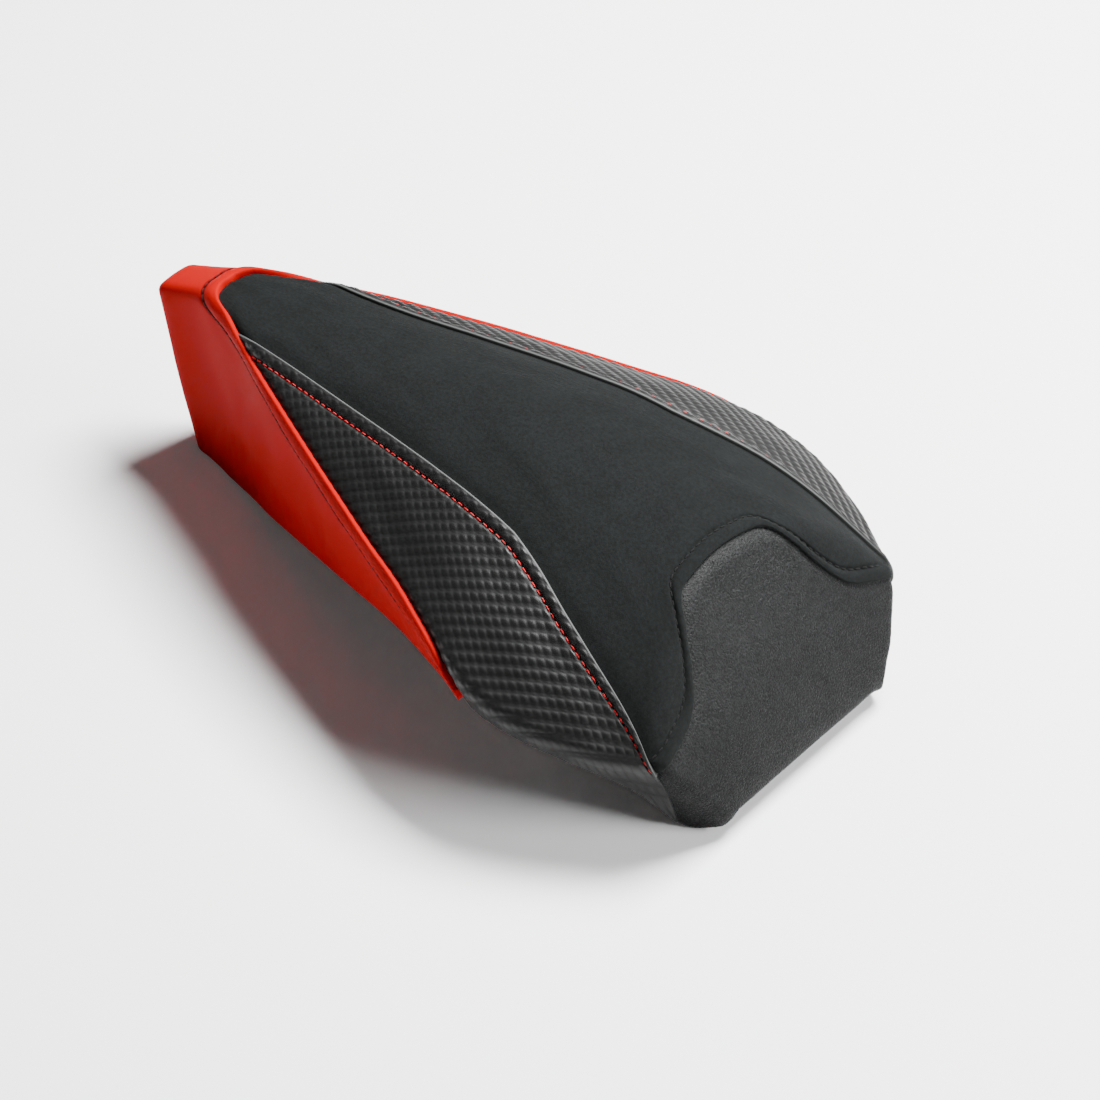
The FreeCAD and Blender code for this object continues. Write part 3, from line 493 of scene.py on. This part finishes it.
def suede_texture(tree, where):
    """Nap in two near-blacks, plus broad clouds where it's brushed one way or the other. The nap is
    drawn about five times too coarse, so that it shows."""
    nap = add(tree, "ShaderNodeTexNoise",
              {"Vector": where, "Scale": per_mm(1.5), "Detail": 4.0, "Roughness": 0.7})
    cloud = add(tree, "ShaderNodeTexNoise",
                {"Vector": where, "Scale": per_mm(16.0), "Detail": 2.0, "Roughness": 0.6})
    nap_tone = add(tree, "ShaderNodeMapRange",
                   {"Value": nap.outputs["Fac"], "From Min": 0.3, "From Max": 0.7})
    cloud_tone = add(tree, "ShaderNodeMapRange",
                     {"Value": cloud.outputs["Fac"], "From Min": 0.2, "From Max": 0.8, "To Max": 0.4})
    tone = add(tree, "ShaderNodeMath",
               {0: nap_tone.outputs["Result"], 1: cloud_tone.outputs["Result"]}, operation="ADD")
    level = add(tree, "ShaderNodeMapRange", {"Value": tone.outputs[0], "From Min": 0.1, "From Max": 1.3})
    colour = add(tree, "ShaderNodeMix",
                 {"Factor": level.outputs["Result"], 6: srgb("#070808"), 7: srgb("#131515")},
                 data_type="RGBA")
    fibre = add(tree, "ShaderNodeTexNoise",
                {"Vector": where, "Scale": per_mm(0.55), "Detail": 2.0, "Roughness": 0.6})
    bump = add(tree, "ShaderNodeBump",
               {"Height": fibre.outputs["Fac"], "Strength": 1.0, "Distance": 0.16 * MM})
    return {"Base Color": colour.outputs[2], "Normal": bump.outputs["Normal"]}


def woven_texture(tree, where):
    """Emboss with painted shade, darker in its valleys, which are also duller; and a painted highlight, a
    pale grey line along the folded edge.
    """
    relief = add(tree, "ShaderNodeAttribute", attribute_name="relief").outputs["Fac"]
    raised = add(tree, "ShaderNodeMapRange", {"Value": relief, "From Min": -0.2, "From Max": 0.2})
    # Painted shade: the valleys of the emboss get the darker colour.
    colour = add(tree, "ShaderNodeMix",
                 {"Factor": raised.outputs["Result"], 6: srgb("#020202"), 7: srgb("#0d0e0d")},
                 data_type="RGBA")
    # Painted highlight: a pale grey line along the folded edge, where the fold catches the light.
    fold = add(tree, "ShaderNodeAttribute", attribute_name="fold").outputs["Fac"]
    edged = add(tree, "ShaderNodeMix", {"Factor": fold, 6: colour.outputs[2], 7: srgb("#4a4c4b")},
                data_type="RGBA")
    gloss = add(tree, "ShaderNodeMapRange",
                {"Value": relief, "From Min": -0.2, "From Max": 0.2, "To Min": 0.7, "To Max": 0.4})
    grain = add(tree, "ShaderNodeTexNoise",
                {"Vector": where, "Scale": per_mm(0.4), "Detail": 3.0, "Roughness": 0.6})
    bump = add(tree, "ShaderNodeBump",
               {"Height": grain.outputs["Fac"], "Strength": 1.0, "Distance": 0.05 * MM})
    return {"Base Color": edged.outputs[2], "Roughness": gloss.outputs["Result"],
            "Normal": bump.outputs["Normal"]}


def red_texture(tree, where):
    """Leather-like cells 0.9 mm across, and painted shade: a darker red in the groove along the topstitch."""
    cells = add(tree, "ShaderNodeTexVoronoi", {"Vector": where, "Scale": per_mm(0.9)}, feature="F1")
    grain = add(tree, "ShaderNodeMapRange",
                {"Value": cells.outputs["Distance"], "From Min": 0.0, "From Max": 0.7})
    bump = add(tree, "ShaderNodeBump",
               {"Height": grain.outputs["Result"], "Strength": 1.0, "Distance": 0.035 * MM})
    # Painted shade: the groove along the topstitch gets the darker red.
    relief = add(tree, "ShaderNodeAttribute", attribute_name="relief").outputs["Fac"]
    raised = add(tree, "ShaderNodeMapRange", {"Value": relief, "From Min": -0.8, "From Max": -0.1})
    colour = add(tree, "ShaderNodeMix",
                 {"Factor": raised.outputs["Result"], 6: srgb("#2a0000"), 7: srgb("#8a0000")},
                 data_type="RGBA")
    return {"Base Color": colour.outputs[2], "Normal": bump.outputs["Normal"]}


def grip_texture(tree, where):
    """Pebbles about 0.9 mm across, with painted highlights: lighter on their tops."""
    pebble = add(tree, "ShaderNodeTexNoise",
                 {"Vector": where, "Scale": per_mm(0.9), "Detail": 2.0, "Roughness": 0.6})
    relief = add(tree, "ShaderNodeAttribute", attribute_name="relief").outputs["Fac"]
    lift = add(tree, "ShaderNodeMath", {0: relief, 1: 0.35}, operation="MULTIPLY")
    level = add(tree, "ShaderNodeMath", {0: pebble.outputs["Fac"], 1: lift.outputs[0]}, operation="ADD")
    # Painted highlight: the pebbles' tops get the lighter colour.
    tops = add(tree, "ShaderNodeMapRange", {"Value": level.outputs[0], "From Min": 0.42, "From Max": 0.68})
    colour = add(tree, "ShaderNodeMix",
                 {"Factor": tops.outputs["Result"], 6: srgb("#020202"), 7: srgb("#1a1c1c")},
                 data_type="RGBA")
    bump = add(tree, "ShaderNodeBump",
               {"Height": pebble.outputs["Fac"], "Strength": 1.0, "Distance": 0.7 * MM})
    return {"Base Color": colour.outputs[2], "Normal": bump.outputs["Normal"]}


def thread_texture(tree, where):
    """Plies twisted round the thread: a sine of nine times the twist in millimetres, so a ply comes
    round every 0.7 mm."""
    twist = add(tree, "ShaderNodeAttribute", attribute_name="twist").outputs["Fac"]
    wave = add(tree, "ShaderNodeMath", {0: twist, 1: 9.0}, operation="MULTIPLY")
    ply = add(tree, "ShaderNodeMath", {0: wave.outputs[0]}, operation="SINE")
    bump = add(tree, "ShaderNodeBump", {"Height": ply.outputs[0], "Strength": 1.0, "Distance": 0.06 * MM})
    return {"Normal": bump.outputs["Normal"]}


def moulded_texture(size_mm, depth_mm):
    """Fine uneven skin that a mould leaves, of the given grain size and depth."""
    def texture(tree, where):
        grain = add(tree, "ShaderNodeTexNoise",
                    {"Vector": where, "Scale": per_mm(size_mm), "Detail": 3.0, "Roughness": 0.6})
        bump = add(tree, "ShaderNodeBump",
                   {"Height": grain.outputs["Fac"], "Strength": 1.0, "Distance": depth_mm * MM})
        return {"Normal": bump.outputs["Normal"]}
    return texture


def metal_texture(tree, where):
    """Gloss that varies over patches of about 2.5 mm, as plating and handling leave it."""
    scuff = add(tree, "ShaderNodeTexNoise",
                {"Vector": where, "Scale": per_mm(2.5), "Detail": 5.0, "Roughness": 0.6})
    gloss = add(tree, "ShaderNodeMapRange",
                {"Value": scuff.outputs["Fac"], "From Min": 0.3, "From Max": 0.7, "To Min": 0.28,
                 "To Max": 0.5})
    return {"Roughness": gloss.outputs["Result"]}


# Brushed microfibre suede: scatters nearly all light, so it's flat black with a faint pale bloom at
# its edges.
SUEDE = material("brushed suede", {"Roughness": 0.9, "Specular IOR Level": 0.08, "Sheen Weight": 0.05,
                                   "Sheen Roughness": 0.4, "Sheen Tint": srgb("#aab0ae")}, suede_texture)
# Calendered vinyl, hot-embossed with a twill: satin tops that catch the light, dull valleys; the valleys'
# darker colour is painted shade.
WOVEN = material("twill embossed vinyl", {"Specular IOR Level": 0.24}, woven_texture)
# Pigmented vinyl with a matt topcoat: an even saturated red with hardly any highlight.
RED = material("red vinyl", {"Roughness": 0.7, "Specular IOR Level": 0.04}, red_texture)
# Anti-slip vinyl cast on a pebbled paper: charcoal, with a fine sparkle on the pebbles: painted highlights on
# their tops, and a weak gloss.
GRIP = material("pebble grip vinyl", {"Roughness": 0.5, "Specular IOR Level": 0.15}, grip_texture)
# Bonded polyester sewing thread, twisted and dyed: a soft sheen across the plies.
RED_THREAD = material("red thread", {"Base Color": srgb("#a80410"), "Roughness": 0.6,
                                     "Specular IOR Level": 0.25}, thread_texture)
DARK_THREAD = material("dark red thread", {"Base Color": srgb("#3a0202"), "Roughness": 0.7,
                                           "Specular IOR Level": 0.2}, thread_texture)
BLACK_THREAD = material("black thread", {"Base Color": srgb("#060606"), "Roughness": 0.8,
                                         "Specular IOR Level": 0.2}, thread_texture)
# Moulded polyurethane foam with its skin: dull grey.
FOAM = material("moulded foam", {"Base Color": srgb("#5a5a5c"), "Roughness": 0.95},
                moulded_texture(0.8, 0.2))

HARD = {
    # Injection-moulded polypropylene with a spark-eroded texture: even matt black.
    "pan_plastic": material("pan plastic", {"Base Color": srgb("#1e1f20"), "Roughness": 0.55},
                            moulded_texture(0.5, 0.06)),
    # Moulded natural rubber: duller and blacker than the pan.
    "bumper_rubber": material("bumper rubber", {"Base Color": srgb("#191919"), "Roughness": 0.75},
                              moulded_texture(0.6, 0.04)),
    # Pressed steel with a black coat: a weak, slightly uneven gloss.
    "black_steel": material("coated steel", {"Base Color": srgb("#1c1c1d"), "Metallic": 0.2},
                            metal_texture),
    # Turned steel with bright zinc plating: pale and metallic.
    "zinc_steel": material("zinc plated steel", {"Base Color": srgb("#c3c3bd"), "Metallic": 1.0},
                           metal_texture),
    # Drawn and galvanised wire: pale and metallic.
    "staple_wire": material("staple wire", {"Base Color": srgb("#bdbdbb"), "Metallic": 1.0},
                            metal_texture),
}
for part in frame["record"]["subparts"]:
    if part["material_slot"] in HARD:
        data = frame["nodes"][part["node"]].data
        data.materials.clear()
        data.materials.append(HARD[part["material_slot"]])


# ---------------------------------------------------------------- cover panels

def centre_panel():
    """Suede panel: under its neighbours at the sides and tail, folded over the front panel."""
    tail_right = mirrored(TAIL_SEAM)
    right = [p for p in tail_right if p[0] < 60] + mirrored(SIDE_SEAM)
    left = [(s, -y, z) for s, y, z in right]
    u = stops(335, 0.95, 0.22, end=True)
    v = stops(170, 1.0)
    place = coons(line(right, u), line(left, u), line([tail_right[0], TAIL_MIDDLE, TAIL_SEAM[0]], v),
                  line(mirrored(FRONT_SEAM)[::-1] + FRONT_SEAM[1:], v), u, v)
    base = from_map(place)
    to_front = run_along(base, 0, back=True)
    to_side = np.minimum(run_along(base, 1), run_along(base, 1, back=True))
    to_tail = run_along(base, 0)
    seam = np.argmin(np.abs(to_front - FRONT_INSET), axis=0)
    path_base = base[seam, np.arange(base.shape[1])]
    along = run_along(path_base, 0)[None]
    height = over_edge(to_front, 0.7) + seam_relief(to_front, along, FRONT_INSET)
    height = (height * ease(to_side / 3) + under_edge(to_side) * (1 - 0.5 * bell(to_front, 8))
              + under_edge(to_tail))
    height += 0.22 * soft_noise(place.shape[:2], 70, 70, 3) * ease(to_side / 15) * ease(to_front / 15)
    height += 0.03 * soft_noise(place.shape[:2], 3, 3, 4)
    p = skin_at(place, height)
    thread_run(p, base, to_front, FRONT_INSET, 0, "front_topstitch", BLACK_THREAD, "black_thread",
               "stitch_front")
    place = closed_edge(place, "last")
    height = closed_edge(height, "last", FOLD_DROPS)
    for side in ("low", "high", "first"):
        place = tuck(place, side, TUCK_REACH)
    height = tucked(tucked(tucked(height, "low"), "high"), "first")
    cover_piece("suede_centre_panel", skin_at(place, height), "cover_centre", "suede", SUEDE)


def thread_run(p, base, distance, inset, axis, name, paint, slot, node, keep=slice(None),
               lift=0.12):
    """Threads along the line of the grid that lies `inset` from an edge, evened out over nine
    neighbouring grid lines."""
    index = np.argmin(np.abs(distance - inset), axis=axis)
    count = np.arange(p.shape[1 - axis])
    pick = (index, count) if axis == 0 else (count, index)
    path, up = p[pick][keep], skin_normal(base[pick][keep])
    window = np.hanning(9) / np.hanning(9).sum()

    def evened(values):
        values = np.pad(values, ((4, 4), (0, 0)), mode="edge")
        return np.stack([np.convolve(values[:, k], window, "valid") for k in range(3)], -1)

    thread(name, evened(path), evened(up), paint, node, lift)


def weave(p, hand):
    """Embossed twill: rope-like rows of rounded bumps, laid square to the panel.

    Across the rows the height is a rounded ridge with a narrow flat valley; along a row it rises
    and falls as a rounded bump, each slanted a little, with every other row shifted by half."""
    # Unit directions along the rows and across them, on the panel's mean plane.
    row = np.array([0.887, -0.398 * hand, 0.233])
    rise = np.array([-0.461, -0.760 * hand, 0.458])
    along, up = p @ row, p @ rise
    level = up / WEAVE_ROW
    k = np.floor(level)
    q = level - k
    ridge = np.clip(np.sin(math.pi * np.clip((q - 0.06) / 0.74, 0, 1)), 0, 1) ** 0.6
    wave = np.abs(np.sin(math.pi * ((along + 1.4 * q) / WEAVE_BUMP + 0.5 * (k % 2)))) ** 0.7
    small = 0.35 * np.clip(np.sin(math.pi * np.clip((q - 0.8) / 0.26, 0, 1)), 0, 1)
    small *= np.abs(np.sin(math.pi * ((along + 0.9) / WEAVE_BUMP + 0.5 * (k % 2)))) ** 2
    return (ridge * (0.38 + 0.62 * wave) + small - 0.5) * WEAVE_HEIGHT


def side_panel(hand):
    """Woven panel: folded over the suede and the front panel, under the tail panel, and turned
    under at the rim. hand is +1 left, -1 right."""
    tag = "left" if hand > 0 else "right"
    seam = [(s, hand * y, z) for s, y, z in SIDE_SEAM]
    outer = ([seam[0]] + [(s, hand * y, z) for s, y, z in TAIL_SEAM if s > 70]
             + rim_points(276, CORNER_STATION, 37, hand))
    u = stops(315, 0.62, 0.22, end=True)
    v = stops(78, 0.55, 0.2, start=True)
    low, high = line(seam, u), line(outer, u)
    place = coons(low, high, straight(low[0], high[0], v), straight(low[-1], high[-1], v), u, v)
    place = place[4:]
    base = from_map(place)
    to_seam = run_along(base, 1)
    to_outer = run_along(base, 1, back=True)
    to_front = run_along(base, 0, back=True)
    at_seam = np.argmin(np.abs(to_seam - SIDE_INSET), axis=1)
    along = run_along(base[np.arange(len(base)), at_seam], 0)[:, None]
    at_rim = ease((base[:, -1, 0] - 258) / 14)[:, None]
    height = over_edge(to_seam) + seam_relief(to_seam, along, SIDE_INSET) * ease(to_outer / 4)
    height += over_edge(to_front, 0.4, 5.0) + under_edge(to_outer) * (1 - at_rim)
    height += 0.25 * soft_noise(place.shape[:2], 90, 90, 7) * ease(to_seam / 15) * ease(to_outer / 12)
    emboss = weave(base, hand) * ease((to_seam - 0.8) / 1.5)
    emboss = emboss * (1 - 0.8 * bell(to_seam - SIDE_INSET, 0.9))
    emboss = emboss * (1 - 0.5 * at_rim * bell(to_outer, 4))
    height += emboss
    thread_run(skin_at(place, height), base, to_seam, SIDE_INSET, 1, "side_topstitch_" + tag, RED_THREAD,
               "red_thread", "stitch_side_" + tag, slice(24, None))
    # Mask of the painted highlight along the folded edge at the seam.
    fold = bell(to_seam - 0.4, 0.32)
    place, height = closed_edge(place, "last"), closed_edge(height, "last", FOLD_DROPS)
    emboss, fold, at_rim = (np.pad(x, ((0, 2), (0, 0)), mode="edge") for x in (emboss, fold, at_rim))
    p = skin_at(closed_edge(place, "low"), closed_edge(height, "low", FOLD_DROPS))
    wrap = turn_under(p, 0.0)
    away = place[:, -1] - place[:, -2]
    away /= np.maximum(np.hypot(away[:, 0], away[:, 1]), 1e-6)[:, None]
    spread = np.linspace(0.3, 3.0, wrap.shape[1])
    hidden = skin_at(place[:, -1:] + away[:, None] * spread[None, :, None],
                     -0.9 - 0.4 * np.broadcast_to(spread, wrap.shape[:2]))
    skirt = wrap * at_rim[..., None] + hidden * (1 - at_rim[..., None])
    q = np.concatenate([p, skirt], 1)
    # relief carries the emboss to the finish for the painted shade in its valleys; fold carries the painted
    # highlight along the folded edge.
    relief, fold = (np.pad(x, ((0, 0), (2, wrap.shape[1])), mode="edge") for x in (emboss, fold))
    cover_piece("woven_side_panel_" + tag, q, "cover_side_" + tag, "woven_vinyl", WOVEN,
                relief=relief, fold=fold)


def tail_lines(u):
    """Seam line and rim line of the tail panel, right flank, round the tip, left flank."""
    seam_flank = [p for p in TAIL_SEAM if p[0] > 56]
    tip = [p for p in TAIL_SEAM if p[0] < 60]
    seam_tip = mirrored(tip)[::-1] + [TAIL_MIDDLE] + tip
    rim_flank = rim_points(49, 264, 90, 1)
    rim_tip = (rim_points(49, TIP_CENTRE, 8, -1)[:-1]
               + round_rim(TIP_CENTRE, CURL, np.linspace(-90, 90, 37), -1)
               + rim_points(TIP_CENTRE, 49, 8, 1)[1:])
    turn = 0.445               # share of the panel's length that each flank takes
    parts = []
    for flank, cap in ((seam_flank, seam_tip), (rim_flank, rim_tip)):
        right = line(flank, 1 - u[u < turn] / turn) * [1, -1]
        middle = line(cap, (u[(u >= turn) & (u <= 1 - turn)] - turn) / (1 - 2 * turn))
        left = line(flank, (u[u > 1 - turn] - 1 + turn) / turn)
        parts.append(np.concatenate([right, middle, left]))
    return parts


def tail_panel():
    """Red panel round the tail and both flanks: folded over all its neighbours."""
    u = stops(520, 0.9)
    v = stops(80, 0.95, 0.2, start=True, reach=12)
    low, high = tail_lines(u)
    place = coons(low, high, straight(low[0], high[0], v), straight(low[-1], high[-1], v), u, v)
    base = from_map(place)
    to_seam = run_along(base, 1)
    to_rim = run_along(base, 1, back=True)
    width = to_rim[:, :1]
    at_seam = np.argmin(np.abs(to_seam - TAIL_INSET), axis=1)
    along = run_along(base[np.arange(len(base)), at_seam], 0)[:, None]
    wide = ease((width - 10) / 8)
    height = over_edge(to_seam, 1.6, 8.0) + seam_relief(to_seam, along, TAIL_INSET, 0.5) * wide
    height += 0.3 * soft_noise(place.shape[:2], 60, 60, 11) * ease(to_seam / 14) * ease(to_rim / 10)
    height += 0.10 * soft_noise(place.shape[:2], 9, 26, 12) * bell(to_rim, 22) * ease(to_rim / 4)
    keep = np.flatnonzero(width[:, 0] > 15)
    thread_run(skin_at(place, height), base, to_seam, TAIL_INSET, 1, "tail_topstitch", DARK_THREAD,
               "dark_red_thread", "stitch_tail", keep, lift=0.3)
    # Mask of the painted shade along the topstitch groove, carried to the finish as relief.
    groove = -bell(to_seam - TAIL_INSET, 1.1) * wide
    for side in ("first", "last"):
        place, height = closed_edge(place, side), closed_edge(height, side, FOLD_DROPS)
    p = skin_at(closed_edge(place, "low"), closed_edge(height, "low", FOLD_DROPS))
    wrap = turn_under(p, 0.7)
    q = np.concatenate([p, wrap], 1)
    relief = np.pad(groove, ((2, 2), (2, wrap.shape[1])), mode="edge")
    cover_piece("red_tail_panel", q, "cover_tail", "red_vinyl", RED, relief=relief)


def front_panel():
    """Anti-slip panel at the wide end: under the suede and the side panels, turned under below."""
    u = stops(240, 0.52)
    v = stops(92, 0.48)
    low = line(mirrored(FRONT_SEAM)[::-1] + FRONT_SEAM[1:], u)
    rim = (rim_points(CORNER_STATION, CORNER_STATION, 1, -1)
           + round_rim(NOSE_CENTRE, NOSE_LEVEL, np.linspace(-80, 80, 61), 1)
           + rim_points(CORNER_STATION, CORNER_STATION, 1, 1))
    high = line(rim, u)
    place = coons(low, high, straight(low[0], high[0], v), straight(low[-1], high[-1], v), u, v)
    base = from_map(place)
    to_seam, to_rim = run_along(base, 1), run_along(base, 1, back=True)
    to_side = np.minimum(run_along(base, 0), run_along(base, 0, back=True))
    grain = np.tanh(1.6 * soft_noise(place.shape[:2], 2.3, 2.3, 21, band=0.45)) * 0.2
    grain += 0.02 * soft_noise(place.shape[:2], 2, 2, 22)
    grain *= 1 - 0.6 * bell(to_rim, 3)
    height = under_edge(to_seam, 1.0) + under_edge(to_side, 0.7, 3.0) * ease(to_rim / 5)
    height += 0.2 * soft_noise(place.shape[:2], 90, 90, 23) * ease(to_seam / 12) * ease(to_rim / 12)
    height += grain
    for side in ("low", "first", "last"):
        place, height = tuck(place, side, TUCK_REACH), tucked(height, side)
    p = skin_at(place, height)
    wrap = turn_under(p, 0.3)
    q = np.concatenate([p, wrap], 1)
    # relief carries the pebbles' height to the finish for the painted highlights on their tops.
    relief = np.pad(grain, ((4, 4), (4, wrap.shape[1])), mode="edge")
    cover_piece("grip_front_panel", q, "cover_front", "grip_vinyl", GRIP, relief=relief)


def foam_pad():
    """Foam under the cover: rings across the seat, each the skin's half-round section set in by the
    foam's depth, closed by a flat floor on the pan; a fan of triangles closes each end."""
    station = np.concatenate([[9, 12], np.linspace(17, 335, 90), np.linspace(338, 362, 12)])
    floor = np.maximum(rim_level(station) + FOAM_FLOOR, (TAIL_FOOT + 5.0 - station) / TAIL_RAKE + 1.0)
    angle = np.radians(np.linspace(-90, 90, 61))
    ray = np.stack([angle * 0, np.sin(angle), np.cos(angle)], -1)
    start = np.stack([station, station * 0, floor], -1)[:, None]
    top = march(start, np.broadcast_to(ray, (len(station), len(angle), 3)), -FOAM_DEPTH)
    lumps = 0.35 * soft_noise(top.shape[:2], 8, 8, 31)
    top[..., 2] += lumps * np.cos(angle)[None] ** 2
    across = np.linspace(1, 0, 14)[1:-1]
    low = top[:, :1] * across[None, :, None] + top[:, -1:] * (1 - across)[None, :, None]
    ring = place_points(np.concatenate([top, low[:, ::-1]], 1))
    count = ring.shape[1]
    first = np.arange(count)
    last = first + (len(station) - 1) * count
    fans = np.concatenate([np.stack([first, np.roll(first, -1), np.full(count, ring[..., 0].size)], -1),
                           np.stack([np.full(count, ring[..., 0].size + 1), np.roll(last, -1), last], -1)])
    points = np.concatenate([ring.reshape(-1, 3), ring[[0, -1]].mean(1)])
    mesh = bpy.data.meshes.new("foam_pad")
    mesh.from_pydata(points.tolist(), [], grid_faces(len(station), count, True).tolist() + fans.tolist())
    mesh.polygons.foreach_set("use_smooth", np.full(len(mesh.polygons), True))
    mesh.update()
    piece = bpy.data.objects.new("foam_pad", mesh)
    bpy.context.scene.collection.objects.link(piece)
    finish(piece, FOAM, "foam_cushion")


# ---------------------------------------------------------------- stage

def camera(target, azimuth, elevation, distance, lens):
    """Camera on a sphere round the target; angles in degrees, lengths in millimetres."""
    a, e = math.radians(azimuth), math.radians(elevation)
    back = Vector((math.sin(a) * math.cos(e), -math.cos(a) * math.cos(e), math.sin(e)))
    right = Vector((math.cos(a), math.sin(a), 0))
    up = back.cross(right)
    data = bpy.data.cameras.new("camera")
    data.lens = lens
    data.sensor_width = 36
    data.clip_end = 20
    eye = bpy.data.objects.new("camera", data)
    turn = Matrix((right, up, back)).transposed().to_4x4()
    eye.matrix_world = Matrix.Translation((Vector(target) + back * distance) * MM) @ turn
    bpy.context.scene.collection.objects.link(eye)
    bpy.context.scene.camera = eye


def area_light(name, place, aim, size, power):
    """White rectangular soft light aimed at a point; metres and watts."""
    data = bpy.data.lights.new(name, "AREA")
    data.shape, data.size, data.size_y = "RECTANGLE", size[0], size[1]
    data.energy = power
    lamp = bpy.data.objects.new(name, data)
    turn = (Vector(place) - Vector(aim)).to_track_quat("Z", "Y").to_matrix().to_4x4()
    lamp.matrix_world = Matrix.Translation(place) @ turn
    bpy.context.scene.collection.objects.link(lamp)


def stage():
    """Pale floor, white surroundings and soft lights from above, behind and to the right."""
    mesh = bpy.data.meshes.new("floor")
    mesh.from_pydata([(-6, -6, 0), (6, -6, 0), (6, 6, 0), (-6, 6, 0)], [], [(0, 1, 2, 3)])
    floor = bpy.data.objects.new("floor", mesh)
    floor.location.z = -0.0005
    bpy.context.scene.collection.objects.link(floor)
    mesh.materials.append(material("white floor", {"Base Color": srgb("#f4f4f4"), "Roughness": 0.9,
                                                   "Specular IOR Level": 0.1}))
    world = bpy.data.worlds.new("white room")
    bpy.context.scene.world = world
    world.use_nodes = True
    back = next(n for n in world.node_tree.nodes if n.type == "BACKGROUND")
    back.inputs["Color"].default_value = srgb("#ffffff")
    back.inputs["Strength"].default_value = 0.05
    area_light("key", (0.12, 0.82, 1.5), (0.0, 0.0, 0.03), (0.9, 0.7), 165)
    area_light("right_side", (1.5, 0.35, 0.9), (0.0, 0.0, 0.05), (0.7, 0.5), 42)
    area_light("fill", (-1.1, -1.3, 1.3), (0.0, 0.0, 0.05), (1.6, 1.2), 4)


camera((-0.3, 48.71, -13.61), 40.15, 41.04, 1810.95, 130.91)
stage()
centre_panel()
side_panel(1)
side_panel(-1)
tail_panel()
front_panel()
foam_pad()
